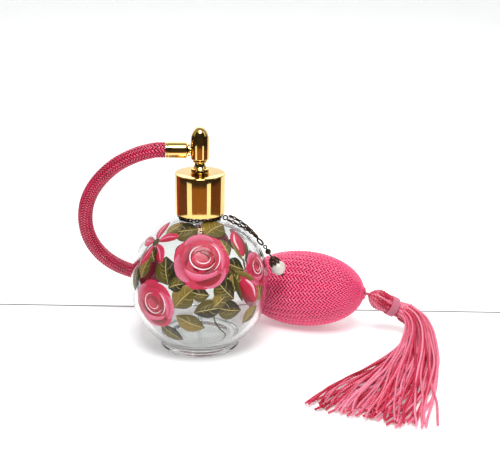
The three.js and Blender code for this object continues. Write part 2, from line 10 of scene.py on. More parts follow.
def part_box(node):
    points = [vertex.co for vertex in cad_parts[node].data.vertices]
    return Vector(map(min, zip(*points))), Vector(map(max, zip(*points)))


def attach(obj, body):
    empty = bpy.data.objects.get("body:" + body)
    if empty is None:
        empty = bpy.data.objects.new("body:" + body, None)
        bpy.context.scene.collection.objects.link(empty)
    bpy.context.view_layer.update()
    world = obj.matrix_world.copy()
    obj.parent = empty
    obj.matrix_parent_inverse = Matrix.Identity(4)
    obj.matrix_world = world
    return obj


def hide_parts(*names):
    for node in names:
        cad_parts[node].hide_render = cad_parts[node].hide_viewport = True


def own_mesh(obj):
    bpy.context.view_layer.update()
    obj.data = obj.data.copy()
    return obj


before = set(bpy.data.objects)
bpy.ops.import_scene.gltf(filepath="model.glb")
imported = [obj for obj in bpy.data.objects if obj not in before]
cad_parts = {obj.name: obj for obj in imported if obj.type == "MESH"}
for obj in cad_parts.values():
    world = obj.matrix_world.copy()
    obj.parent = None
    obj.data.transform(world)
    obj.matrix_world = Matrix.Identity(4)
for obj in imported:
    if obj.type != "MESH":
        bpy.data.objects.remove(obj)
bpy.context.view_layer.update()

# Lengths below are in millimetres and turn into metres where a mesh is made.
MM = 0.001
TAU = 2 * math.pi
rng = random.Random(7)

# === Camera

CAMERA_AT = (0.0, -0.5038, 0.2217)
CAMERA_HEADING, CAMERA_PITCH, CAMERA_ROLL = 2.5, 18.34, 0.76
CAMERA_LENS = 86.98


def make_camera():
    heading, pitch, roll = (math.radians(a) for a in (CAMERA_HEADING, CAMERA_PITCH, CAMERA_ROLL))
    ahead = Vector((
        math.sin(heading) * math.cos(pitch),
        math.cos(heading) * math.cos(pitch),
        -math.sin(pitch),
    ))
    right = Vector((math.cos(heading), -math.sin(heading), 0))
    up = right.cross(ahead)
    side = math.cos(roll) * right + math.sin(roll) * up
    top = math.cos(roll) * up - math.sin(roll) * right
    data = bpy.data.cameras.new("camera")
    data.sensor_width = 36
    data.lens = CAMERA_LENS
    camera = bpy.data.objects.new("camera", data)
    turn = Matrix((side, top, -ahead)).transposed().to_4x4()
    camera.matrix_world = Matrix.Translation(CAMERA_AT) @ turn
    bpy.context.scene.collection.objects.link(camera)
    bpy.context.scene.camera = camera


make_camera()

# === Materials


def linear(red, green, blue):
    """A colour given as 0 to 255 screen values."""
    def one(c):
        c /= 255
        return c / 12.92 if c <= 0.04045 else ((c + 0.055) / 1.055) ** 2.4
    return (one(red), one(green), one(blue), 1.0)


class Look:
    """A node material round one Principled shader."""

    def __init__(self, name, **values):
        self.material = bpy.data.materials.new(name)
        self.material.use_nodes = True
        self.nodes = self.material.node_tree.nodes
        self.links = self.material.node_tree.links
        self.shader = self.nodes["Principled BSDF"]
        for key, value in values.items():
            self.shader.inputs[key.replace("_", " ")].default_value = value

    def node(self, kind, **values):
        made = self.nodes.new(kind)
        for key, value in values.items():
            if key in made.inputs:
                made.inputs[key].default_value = value
            else:
                setattr(made, key, value)
        return made

    def link(self, source, target):
        self.links.new(source, target)

    def noise(self, scale, detail=4.0, stretch=None, roughness=0.5):
        place = self.node("ShaderNodeTexCoord").outputs["Object"]
        if stretch:
            mapping = self.node("ShaderNodeMapping")
            mapping.inputs["Scale"].default_value = stretch
            self.link(place, mapping.inputs["Vector"])
            place = mapping.outputs["Vector"]
        noise = self.node("ShaderNodeTexNoise", Scale=scale, Detail=detail, Roughness=roughness)
        self.link(place, noise.inputs["Vector"])
        return noise.outputs["Fac"]

    def attribute(self, name, output="Fac"):
        return self.node("ShaderNodeAttribute", attribute_name=name).outputs[output]

    def ramp(self, source, *stops):
        ramp = self.node("ShaderNodeValToRGB")
        elements = ramp.color_ramp.elements
        while len(elements) < len(stops):
            elements.new(0.5)
        for element, (at, color) in zip(elements, stops):
            element.position = at
            element.color = color if len(color) == 4 else (*color, 1)
        self.link(source, ramp.inputs["Fac"])
        return ramp.outputs["Color"]

    def maths(self, operation, a, b):
        made = self.node("ShaderNodeMath", operation=operation)
        for socket, value in zip(made.inputs, (a, b)):
            if isinstance(value, (int, float)):
                socket.default_value = value
            else:
                self.link(value, socket)
        return made.outputs[0]

    def multiply(self, a, b):
        """The product of two colours."""
        made = self.node("ShaderNodeMix", data_type="RGBA", blend_type="MULTIPLY")
        made.inputs[0].default_value = 1.0
        colors = [socket for socket in made.inputs if socket.type == "RGBA"]
        self.link(a, colors[0])
        self.link(b, colors[1])
        return next(socket for socket in made.outputs if socket.type == "RGBA")

    def bump(self, height, distance, strength=1.0):
        bump = self.node("ShaderNodeBump", Strength=strength, Distance=distance)
        self.link(height, bump.inputs["Height"])
        self.link(bump.outputs["Normal"], self.shader.inputs["Normal"])

    def into(self, socket, source):
        self.link(source, self.shader.inputs[socket])


def grey(value):
    return (value, value, value, 1.0)


def glass_look():
    look = Look("clear_glass", Roughness=0.0, IOR=1.5)
    look.shader.inputs["Transmission Weight"].default_value = 1.0
    look.shader.inputs["Base Color"].default_value = (0.84, 0.86, 0.85, 1)
    look.bump(look.noise(45.0, 2.0), 0.0003, 0.08)
    return look.material


def paint_look():
    look = Look("flower_paint", Roughness=0.3, IOR=1.5)
    look.shader.inputs["Coat Weight"].default_value = 0.35
    look.shader.inputs["Coat Roughness"].default_value = 0.12
    color = look.attribute("paint", "Color")
    bristle = look.maths("MULTIPLY", look.attribute("across"), 9.0)
    streak = look.node("ShaderNodeTexNoise", noise_dimensions="2D", Scale=1.0, Detail=3.0)
    combine = look.node("ShaderNodeCombineXYZ")
    look.link(bristle, combine.inputs["X"])
    look.link(look.maths("MULTIPLY", look.attribute("along"), 1.6), combine.inputs["Y"])
    look.link(combine.outputs["Vector"], streak.inputs["Vector"])
    shade = look.ramp(streak.outputs["Fac"], (0.3, grey(0.5)), (0.52, grey(0.95)), (0.72, grey(1.45)))
    tone = look.multiply(color, shade)
    look.into("Base Color", tone)
    # The paint also glows a little in its own colour. This is painted light, standing in for light the
    # glass would carry to it.
    look.into("Emission Color", tone)
    look.shader.inputs["Emission Strength"].default_value = 0.2
    look.into("Roughness", look.ramp(streak.outputs["Fac"], (0.3, grey(0.42)), (0.7, grey(0.2))))
    look.bump(streak.outputs["Fac"], 0.00012, 0.9)
    return look.material


def gold_look():
    look = Look("polished_gold", Metallic=1.0)
    fine = look.noise(900.0, 3.0, (1, 1, 0.08))
    wide = look.noise(70.0, 3.0)
    look.into("Base Color", look.ramp(wide, (0.3, (0.8, 0.54, 0.17)), (0.7, (0.9, 0.64, 0.24))))
    look.into("Roughness", look.ramp(fine, (0.3, grey(0.03)), (0.75, grey(0.07))))
    look.bump(fine, 0.00001, 0.15)
    return look.material


def bronze_look():
    look = Look("antique_bronze", Metallic=0.75)
    patina = look.noise(900.0, 5.0)
    look.into("Base Color", look.ramp(
        patina, (0.32, (0.012, 0.008, 0.005)), (0.55, (0.06, 0.035, 0.014)), (0.8, (0.3, 0.18, 0.075)),
    ))
    look.into("Roughness", look.ramp(patina, (0.3, grey(0.55)), (0.8, grey(0.28))))
    look.bump(patina, 0.00005, 0.5)
    return look.material


def pearl_look():
    look = Look("pearl_white", Roughness=0.22, IOR=1.55)
    look.shader.inputs["Coat Weight"].default_value = 0.6
    look.shader.inputs["Coat Roughness"].default_value = 0.08
    look.shader.inputs["Subsurface Weight"].default_value = 0.1
    look.shader.inputs["Subsurface Scale"].default_value = 0.0012
    look.shader.inputs["Sheen Weight"].default_value = 0.1
    nacre = look.noise(240.0, 3.0, (1, 1, 2.2))
    look.into("Base Color", look.ramp(
        nacre, (0.3, linear(196, 186, 176)), (0.5, linear(222, 216, 206)), (0.72, linear(208, 200, 200)),
    ))
    look.bump(nacre, 0.00004, 0.3)
    return look.material


def plastic_look(name, low, high, clear=0.0, rough=0.3):
    look = Look(name, IOR=1.36 if clear else 1.46)
    look.shader.inputs["Transmission Weight"].default_value = clear
    grain = look.noise(1400.0, 4.0)
    look.into("Base Color", look.ramp(look.noise(60.0), (0.3, low), (0.7, high)))
    look.into("Roughness", look.ramp(grain, (0.3, grey(rough)), (0.7, grey(rough * 1.6))))
    look.bump(grain, 0.00003, 0.1 if clear else 0.4)
    return look.material


def rubber_look():
    look = Look("black_rubber")
    grain = look.noise(1100.0, 5.0)
    look.into("Base Color", look.ramp(grain, (0.3, (0.012, 0.011, 0.011)), (0.75, (0.05, 0.046, 0.046))))
    look.into("Roughness", look.ramp(grain, (0.3, grey(0.55)), (0.7, grey(0.8))))
    look.bump(grain, 0.00005, 0.5)
    return look.material


def steel_look():
    look = Look("spring_steel", Metallic=1.0)
    brushed = look.noise(700.0, 4.0, (0.06, 1, 1))
    look.into("Base Color", look.ramp(brushed, (0.3, (0.42, 0.42, 0.44)), (0.7, (0.66, 0.66, 0.67))))
    look.into("Roughness", look.ramp(brushed, (0.3, grey(0.2)), (0.7, grey(0.38))))
    look.bump(brushed, 0.00002, 0.4)
    return look.material


def yarn_look(name, deep, body, painted_highlight, filaments, sheen):
    """Silky yarn: painted shade low between the strands and on their flanks, a painted highlight on their
    crowns, filaments along each strand.
    """
    look = Look(name, IOR=1.52)
    look.shader.inputs["Sheen Weight"].default_value = sheen
    look.shader.inputs["Sheen Roughness"].default_value = 0.35
    look.shader.inputs["Sheen Tint"].default_value = (1.0, 0.62, 0.74, 1)
    look.shader.inputs["Specular IOR Level"].default_value = 0.85
    stripe = look.node("ShaderNodeTexNoise", noise_dimensions="2D", Scale=1.0, Detail=2.0)
    combine = look.node("ShaderNodeCombineXYZ")
    look.link(look.maths("MULTIPLY", look.attribute("across"), filaments), combine.inputs["X"])
    look.link(look.maths("MULTIPLY", look.attribute("along"), 0.5), combine.inputs["Y"])
    look.link(combine.outputs["Vector"], stripe.inputs["Vector"])
    # The ramp paints light into the colour. Its first colour is painted shade, its last a painted
    # highlight, and the noise adds a random tone.
    height = look.maths("ADD", look.attribute("lift"), look.maths("MULTIPLY", stripe.outputs["Fac"], 0.35))
    height = look.maths("ADD", height, look.maths("MULTIPLY", look.noise(160.0, 3.0), 0.22))
    look.into("Base Color", look.ramp(height, (0.44, deep), (0.76, body), (1.0, painted_highlight)))
    look.into("Roughness", look.ramp(stripe.outputs["Fac"], (0.3, grey(0.16)), (0.7, grey(0.3))))
    look.bump(stripe.outputs["Fac"], 0.00008, 0.5)
    return look.material


GLASS = glass_look()
PAINT = paint_look()
GOLD = gold_look()
BRONZE = bronze_look()
PEARL = pearl_look()
PLASTIC = plastic_look("white_plastic", linear(222, 220, 212), linear(238, 236, 230))
CLEAR_PLASTIC = plastic_look("clear_plastic", linear(240, 244, 242), linear(250, 252, 251), 1.0, 0.02)
RUBBER = rubber_look()
STEEL = steel_look()
BRAID = yarn_look("pink_braid", linear(48, 0, 6), linear(200, 4, 62), linear(246, 84, 134), 7.0, 0.03)
SATIN = yarn_look(
    "pink_satin_cord", linear(140, 0, 18), linear(222, 30, 76), linear(252, 150, 178), 5.0, 0.04,
)

SURFACES = {
    "clear_glass": GLASS, "flower_paint": PAINT, "polished_gold": GOLD, "antique_bronze": BRONZE,
    "pearl_white": PEARL, "pink_braid": BRAID, "pink_satin_cord": SATIN,
}

# === Mesh helpers


class Shape:
    """Points, faces and per-point values of one mesh, gathered grid by grid."""

    def __init__(self):
        self.points, self.faces, self.values = [], [], {}
        self.count = 0

    def grid(self, points, ring=True, caps=True, wrap=False, **values):
        """Rows of points joined row to row: ring closes each row, wrap joins the last row to the first."""
        rows, columns = points.shape[:2]
        first = self.count
        self.points.append(points.reshape(-1, 3))
        for key, value in values.items():
            wide = np.broadcast_to(value, (rows, columns) + np.shape(value)[2:])
            self.values.setdefault(key, []).append(np.array(wide, float).reshape(rows * columns, -1))
        self.count += rows * columns
        for i in range(rows if wrap else rows - 1):
            low, high = first + i * columns, first + (i + 1) % rows * columns
            for j in range(columns if ring else columns - 1):
                k = (j + 1) % columns
                self.faces.append((low + j, low + k, high + k, high + j))
        if caps and ring and not wrap:
            self.faces.append(tuple(first + j for j in reversed(range(columns))))
            self.faces.append(tuple(first + (rows - 1) * columns + j for j in range(columns)))
        return self


def piece(name, shape, slot, body, replaces=(), weld=False, sharp=40):
    """A mesh object that rides a body and has the surface of its slot."""
    mesh = bpy.data.meshes.new(name)
    mesh.from_pydata((np.concatenate(shape.points) * MM).tolist(), [], shape.faces)
    for key, parts in shape.values.items():
        values = np.concatenate(parts).astype(np.float32)
        if values.shape[1] == 1:
            mesh.attributes.new(key, "FLOAT", "POINT").data.foreach_set("value", values.ravel())
        else:
            mesh.attributes.new(key, "FLOAT_COLOR", "POINT").data.foreach_set("color", values.ravel())
    if weld:
        edit = bmesh.new()
        edit.from_mesh(mesh)
        bmesh.ops.remove_doubles(edit, verts=edit.verts, dist=1e-7)
        bmesh.ops.dissolve_degenerate(edit, edges=edit.edges, dist=1e-8)
        bmesh.ops.recalc_face_normals(edit, faces=edit.faces)
        edit.to_mesh(mesh)
        edit.free()
    mesh.polygons.foreach_set("use_smooth", [True] * len(mesh.polygons))
    if sharp:
        mesh.set_sharp_from_angle(angle=math.radians(sharp))
    mesh.materials.append(SURFACES[slot])
    made = bpy.data.objects.new(name, mesh)
    bpy.context.scene.collection.objects.link(made)
    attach(made, body)
    if replaces:
        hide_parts(*replaces)
    return made


def unit(v):
    return v / np.linalg.norm(v, axis=-1, keepdims=True)


def across_of(axis):
    """Two directions square to axis, the first level where it can be."""
    axis = unit(np.array(axis, float))
    first = np.cross((0, 0, 1), axis)
    if np.linalg.norm(first) < 0.1:
        first = np.array((1.0, 0, 0)) - axis * axis[0]
    first = unit(first)
    return first, np.cross(axis, first)


def turned(profile, origin=(0, 0, 0), axis=(0, 0, 1), sides=96):
    """Grid of a turned surface: radius, height pairs about an axis."""
    first, second = across_of(axis)
    axis = unit(np.array(axis, float))
    profile = np.array(profile, float)
    angles = np.arange(sides) * TAU / sides
    out = np.cos(angles)[:, None] * first + np.sin(angles)[:, None] * second
    return np.array(origin) + profile[:, None, :1] * out[None] + profile[:, None, 1:] * axis


def lathe(name, profile, slot, body, replaces=(), origin=(0, 0, 0), axis=(0, 0, 1), sides=96, sharp=35):
    """A turned piece. A profile that ends where it starts is a ring, else its ends are on the axis."""
    closed = profile[0] == profile[-1]
    points = turned(profile[:-1] if closed else profile, origin, axis, sides)
    shape = Shape().grid(points, caps=False, wrap=closed)
    return piece(name, shape, slot, body, replaces, weld=True, sharp=sharp)


def rounded(corners, steps=4):
    """A profile from (radius, height, fillet) corners, each fillet a short curve."""
    points = [np.array(c[:2], float) for c in corners]
    made = []
    for i, corner in enumerate(corners):
        fillet = corner[2] if len(corner) > 2 else 0
        if not fillet or i in (0, len(corners) - 1):
            made.append(tuple(points[i]))
            continue
        before, after = points[i - 1] - points[i], points[i + 1] - points[i]
        reach = min(fillet, np.linalg.norm(before) / 2.05, np.linalg.norm(after) / 2.05)
        start, end = points[i] + unit(before) * reach, points[i] + unit(after) * reach
        for t in np.linspace(0, 1, steps + 1):
            made.append(tuple((1 - t) ** 2 * start + 2 * t * (1 - t) * points[i] + t * t * end))
    return made


def arc(radius, rise, middle, start, end, steps):
    angles = np.linspace(math.radians(start), math.radians(end), steps + 1)
    return [(radius * math.cos(a), middle + rise * math.sin(a)) for a in angles]


def run_along(line):
    """Distance along a line at each of its points."""
    return np.concatenate([[0], np.cumsum(np.linalg.norm(np.diff(line, axis=0), axis=1))])


def smooth_line(points, spacing=None, count=None):
    """A Catmull-Rom line through points, evenly spaced along its length."""
    p = np.array(points, float)
    p = np.vstack([2 * p[0] - p[1], p, 2 * p[-1] - p[-2]])
    knots = np.concatenate([[0], np.cumsum(np.linalg.norm(np.diff(p, axis=0), axis=1) ** 0.5)])
    fine = []
    for i in range(1, len(p) - 2):
        t0, t1, t2, t3 = knots[i - 1:i + 3]
        t = np.linspace(t1, t2, 24, endpoint=False)[:, None]
        a1 = ((t1 - t) * p[i - 1] + (t - t0) * p[i]) / (t1 - t0)
        a2 = ((t2 - t) * p[i] + (t - t1) * p[i + 1]) / (t2 - t1)
        a3 = ((t3 - t) * p[i + 1] + (t - t2) * p[i + 2]) / (t3 - t2)
        b1 = ((t2 - t) * a1 + (t - t0) * a2) / (t2 - t0)
        b2 = ((t3 - t) * a2 + (t - t1) * a3) / (t3 - t1)
        fine.append(((t2 - t) * b1 + (t - t1) * b2) / (t2 - t1))
    fine = np.vstack(fine + [p[-2:-1]])
    run = run_along(fine)
    if count is None:
        count = max(2, int(round(run[-1] / spacing)) + 1)
    at = np.linspace(0, run[-1], count)
    return np.stack([np.interp(at, run, fine[:, k]) for k in range(p.shape[1])], axis=1)


def carried_frame(line):
    """Two directions square to a line, carried along it without twist."""
    ahead = unit(np.gradient(line, axis=0))
    first = [across_of(ahead[0])[0]]
    for direction in ahead[1:]:
        side = first[-1] - direction * np.dot(first[-1], direction)
        first.append(unit(side))
    first = np.array(first)
    return first, np.cross(ahead, first)


# === The model's own sizes

glass_high = np.array(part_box("glass_bottle")[1]) / MM
GLOBE_R, NECK_TOP = glass_high[0], glass_high[2]
GLOBE_Z = 28.496
SHOULDER_RISE = 32.8
GLASS_WALL = 2.2
collar_low, collar_high = (np.array(c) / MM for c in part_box("collar_shell"))
COLLAR_R, COLLAR_LOW, COLLAR_TOP = collar_high[0], collar_low[2], collar_high[2]
ARM_Z = 89.87
BULB_HALF, BULB_R, BULB_LINING, VALVE_END = 30.0, 17.3, 0.75, 30.4
HOSE_R, HOSE_CORE_R = 3.25, 2.62

BULB_HEADING, BULB_TILT = -26.5, 5
BULB_REACH, BULB_AZIMUTH = 30.7 + 17.3 + 4.92, 25.28
TASSEL_HEADING, TASSEL_TILT = 6, -29
TIE_R, GAP = 0.9, 0.3


def heading(round_, up):
    """A unit direction from degrees round the upright axis and degrees up."""
    round_, up = math.radians(round_), math.radians(up)
    return np.array((math.cos(round_) * math.cos(up), math.sin(round_) * math.cos(up), math.sin(up)))


BULB_AXIS = heading(BULB_HEADING, BULB_TILT)
BULB_AT = BULB_REACH * heading(BULB_AZIMUTH, 0)
tilt = math.radians(BULB_TILT)
BULB_AT[2] = math.hypot(BULB_HALF * math.sin(tilt), BULB_R * math.cos(tilt))
TASSEL_AT = BULB_AT + BULB_AXIS * (VALVE_END + GAP + TIE_R)
TASSEL_AXIS = heading(TASSEL_HEADING, TASSEL_TILT)


def on_bulb_axis(x):
    return BULB_AT + BULB_AXIS * x


# === Hose

HOSE_ROUTE = [
    (-21.5, 0.5, 89.2), (-26, 1.3, 87.8), (-30.5, 2.4, 85.7), (-35, 3.6, 83), (-39.3, 5, 79.5),
    (-43.8, 6.8, 74.6), (-47.5, 8.8, 69), (-50, 10.8, 62.9), (-51.2, 13, 56.2), (-51, 15.2, 49.4),
    (-49.4, 17.6, 43), (-46.8, 20, 37.6), (-43.4, 22.6, 32.8), (-38.8, 25.8, 28.2), (-33, 29.8, 24),
    (-26, 34, 20.4), (-18, 37.8, 17.6), (-9.5, 40.9, 15.4), (-1, 42.6, 14.2), (7, 42.3, 13.8),
]
HOSE_MOUTH, BULB_MOUTH = -15.1, -37.55
hose_points = (
    [(HOSE_MOUTH - x, 0, ARM_Z) for x in (0, HOSE_R / 2, HOSE_R)]
    + HOSE_ROUTE
    + [tuple(on_bulb_axis(BULB_MOUTH - x)) for x in (HOSE_R, HOSE_R / 2, 0)]
)


BRAID_SECTION = np.arange(6) * TAU / 6


def braid(line, run, sides, radius, slope=None, *, count, turn, tight, thick, flat, wave, shade):
    """Strands wound both ways round a tube, each over two and under two of the others.

    For each point of the line, run is how far along the tube it is, sides are two directions square to it,
    radius is the tube's and slope, on a tube that swells, is the direction of its profile. A strand winds
    turn radians per millimetre and fills the share tight of its room. Its half thickness is flat times its
    half width, and thick at most, and it waves in and out by the share wave of that.
    """
    shape = Shape()
    wide = tight * math.pi * radius / count * np.cos(np.arctan(turn * radius))
    tall = np.minimum(thick, wide * flat)
    for way in (1, -1):
        for i in range(count):
            angle = TAU * i / count + way * turn * run
            crossing = turn * run * count / math.pi
            high = way * np.cos((2 * i + way * crossing - 0.5) * TAU / 4)
            out = np.cos(angle)[:, None] * sides[0] + np.sin(angle)[:, None] * sides[1]
            bare = line + out * radius[:, None]
            normal = out if slope is None else out * slope[:, 1:] - BULB_AXIS * slope[:, :1]
            middle = bare + normal * (high * tall * wave - tall)[:, None]
            ahead = np.gradient(middle if slope is None else bare, axis=0)
            side = unit(np.cross(unit(ahead), normal))
            points = (
                middle[:, None]
                + (wide[:, None] * np.cos(BRAID_SECTION))[..., None] * side[:, None]
                + (tall[:, None] * np.sin(BRAID_SECTION))[..., None] * normal[:, None]
            )
            # The colour value paints shade under each crossing and down each strand's flanks, and a
            # highlight on its crown. The shade offset darkens the whole tube as painted shade.
            shape.grid(
                points, lift=shade + 0.28 * high[:, None] + 0.26 * np.sin(BRAID_SECTION)[None],
                across=(np.cos(BRAID_SECTION) + i * 2.0)[None], along=run[:, None],
            )
    return shape


def make_hose():
    line = smooth_line(hose_points, spacing=0.3)
    sides = carried_frame(line)
    radius = np.full(len(line), HOSE_R - 0.02)
    # The hose gets a smaller shade offset than the bulb, so it is painted darker, as painted shade.
    shape = braid(
        line, run_along(line), sides, radius,
        count=14, turn=0.33, tight=0.8, thick=0.4, flat=0.75, wave=0.62, shade=0.13,
    )
    made = piece("hose_braid", shape, "pink_braid", "head", ("hose_sleeve",), sharp=None)
    angles = np.arange(20) * TAU / 20
    ring = np.cos(angles)[:, None] * sides[0][::3, None] + np.sin(angles)[:, None] * sides[1][::3, None]
    # The core under the braid takes the deepest colour, painted shade for the gaps between the strands.
    core = Shape().grid(line[::3, None] + HOSE_CORE_R * ring, lift=0.05, across=angles[None], along=0.0)
    inner = piece("hose_core", core, "pink_braid", "head", ("hose_tube",))
    path = smooth_line(hose_points, spacing=1.5)


make_hose()

# === Bulb


def bulb_profile(inset):
    """Radius and height along the bulb, with a nub of gathered strands at the tassel end."""
    ends = [(2.7, -VALVE_END - 0.2), (3.0, -VALVE_END + 0.3)]
    nub = [
        (2.9, VALVE_END - 0.2), (2.75, VALVE_END + 0.1), (1.9, VALVE_END + 0.38), (0.6, VALVE_END + 0.42),
    ]
    middle = arc(BULB_R - inset, BULB_HALF - inset, 0, -78, 79, 70)
    return ends + middle + [(r - inset / 4, h - inset / 4) for r, h in nub]


def make_bulb():
    """The woven cover and the rubber lining under it, each with a mesh of its own."""
    profile = smooth_line(bulb_profile(0.0), spacing=0.56)
    line = BULB_AT + profile[:, 1:] * BULB_AXIS
    sides = [np.tile(side, (len(profile), 1)) for side in across_of(BULB_AXIS)]
    slope = unit(np.gradient(profile, axis=0))
    shape = braid(
        line, run_along(profile), sides, profile[:, 0], slope,
        count=60, turn=0.0575, tight=0.7, thick=0.46, flat=0.95, wave=0.75, shade=0.46,
    )
    cover = piece("bulb_braid", shape, "pink_braid", "head", ("bulb_cover",), sharp=None)
    points = turned(bulb_profile(BULB_LINING), BULB_AT, BULB_AXIS, 64)
    # The lining takes the deepest colour, painted shade for the gaps between the strands.
    core = Shape().grid(points, lift=0.05, across=0.0, along=0.0)
    lining = piece("bulb_lining", core, "pink_braid", "head", ("bulb_bladder",))
    for soft in (cover, lining):
        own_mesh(soft)


make_bulb()

# === Glass


def make_glass():
    inner_r, inner_rise = GLOBE_R - GLASS_WALL, SHOULDER_RISE - GLASS_WALL
    foot_r, base_t = 17.9, 5.5
    start = -math.degrees(math.acos(18.1 / GLOBE_R))
    end = math.degrees(math.acos(9.1 / GLOBE_R))
    base = math.degrees(math.asin((base_t + 1.2 - GLOBE_Z) / inner_r))
    bore = math.degrees(math.acos(6.6 / inner_r))
    neck_low = GLOBE_Z + SHOULDER_RISE * math.sqrt(1 - (8 / GLOBE_R) ** 2)
    ridges = []
    for k in (0, 1):
        z = neck_low + 4.5 + 3.6 * k
        ridges += [(8, z, 0.3), (8.6, z + 0.5, 0.3), (8.6, z + 1.1, 0.3), (8, z + 1.6, 0.3)]
    profile = (
        rounded([(0, 0.7), (11, 0.55, 2), (14.6, 0, 0.8), (foot_r - 0.5, 0, 1.2), (foot_r, 2.4, 1.2),
                 (foot_r - 0.1, 3.1, 0.3), (foot_r + 0.2, 3.7)])[:-1]
        + arc(GLOBE_R, GLOBE_R, GLOBE_Z, start, 0, 36)[:-1]
        + arc(GLOBE_R, SHOULDER_RISE, GLOBE_Z, 0, end, 40)
        + rounded([
            (9, neck_low + 0.1), (8.15, neck_low + 0.3, 0.3), (8, neck_low + 1.2, 0.3), *ridges,
            (8, NECK_TOP, 0.6), (6, NECK_TOP, 0.6), (6, neck_low + 2, 1), (6.4, neck_low - 1.6),
        ])[1:-1]
        + arc(inner_r, inner_rise, GLOBE_Z, bore, 0, 36)
        + arc(inner_r, inner_r, GLOBE_Z, 0, base, 28)[1:]
        + [(14.5, base_t + 0.45), (11, base_t + 0.15), (6, base_t), (0, base_t)]
    )
    lathe("globe_glass", profile, "clear_glass", "bottle", ("glass_bottle",), sides=128, sharp=60)


make_glass()

# === Painted flowers

ROSE_DEEP, ROSE_RED = linear(104, 2, 16), linear(158, 10, 36)
ROSE_PINK, ROSE_PALE = linear(198, 38, 78), linear(214, 108, 142)
ROSE_WHITE = linear(236, 222, 226)
LEAF_DARK, LEAF_OLIVE = linear(36, 34, 8), linear(84, 74, 20)
LEAF_GOLD, LEAF_CREAM = linear(132, 108, 42), linear(190, 174, 112)
STEM_DARK = linear(34, 24, 8)
PAINT_STEP = 0.035
LEAF_VEINS = (
    (-0.6, 0.6, 0), (-0.35, 0.7, 1), (-0.08, 0.72, 0), (0.18, 0.62, 1), (-0.45, -0.6, 0), (0.0, -0.62, 1),
)

paint = Shape()


def on_globe(centre, u, v, off):
    """Point off the globe from millimetres right and up of a centre given in degrees round and up."""
    round_, up = math.radians(centre[0]), math.radians(centre[1])
    middle = np.array((math.cos(up) * math.cos(round_), math.cos(up) * math.sin(round_), math.sin(up)))
    east = np.array((-math.sin(round_), math.cos(round_), 0))
    north = np.cross(middle, east)
    spot = unit(middle + (np.asarray(u)[..., None] * east + np.asarray(v)[..., None] * north) / GLOBE_R)
    rise = np.where(spot[..., 2] > 0, SHOULDER_RISE, GLOBE_R)
    off = np.asarray(off)
    flat = spot[..., :2] * (GLOBE_R + off)[..., None]
    return np.concatenate([flat, (GLOBE_Z + spot[..., 2] * (rise + off))[..., None]], axis=-1)


def turner(degrees, size=1.0):
    """A function that turns and scales a point."""
    c, s = size * math.cos(math.radians(degrees)), size * math.sin(math.radians(degrees))
    return lambda x, y: (c * x - s * y, s * x + c * y)


def stroke(centre, points, width, inner, outer, layer, height=0.12, taper=0.6):
    """One brush stroke: a crowned ribbon of paint along points, inner colour on its left side."""
    line = smooth_line(points, count=18)
    t = np.linspace(0, 1, len(line))
    body = np.clip(np.sin(math.pi * np.clip(t, 0.012, 0.988)), 0, 1) ** taper
    ahead = unit(np.gradient(line, axis=0))
    side = np.stack([ahead[:, 1], -ahead[:, 0]], axis=1)
    s = np.array([-1, -0.86, -0.45, 0, 0.45, 0.86, 1, 0.5, -0.5])
    crown = np.array([0, 0.75, 1, 0.8, 1, 0.75, 0, -1, -1])
    base = 0.02 + PAINT_STEP * layer
    place = line[:, None] + side[:, None] * (s[None] * width * body[:, None])[..., None]
    off = np.where(crown >= 0, base + height * crown * body[:, None] ** 0.5, 0.012)
    points3 = on_globe(centre, place[..., 0], place[..., 1], off)
    mixed = (s[None, :, None] + 1) / 2 * np.ones((len(t), 1, 1))
    color = np.array(inner) * (1 - mixed) + np.array(outer) * mixed
    run = np.cumsum(np.r_[0, np.linalg.norm(np.diff(line, axis=0), axis=1)])
    paint.grid(
        points3[:, ::-1], paint=color[:, ::-1],
        across=(s[::-1] * width + centre[0])[None], along=(run + centre[1] + layer)[:, None],
    )


def curl(radius, start, end, squeeze=1.0, middle=(0, 0)):
    """Points of an arc round the centre of a flower, in degrees."""
    angles = np.radians(np.linspace(start, end, 7))
    return [(middle[0] + radius * math.cos(a), middle[1] + radius * squeeze * math.sin(a)) for a in angles]


def blob(centre, radius, color, edge, layer, middle=(0, 0), tall=1.0):
    points = [(middle[0], middle[1] - radius * tall), middle, (middle[0], middle[1] + radius * tall)]
    stroke(centre, points, radius, edge, color, layer, 0.06, 0.5)


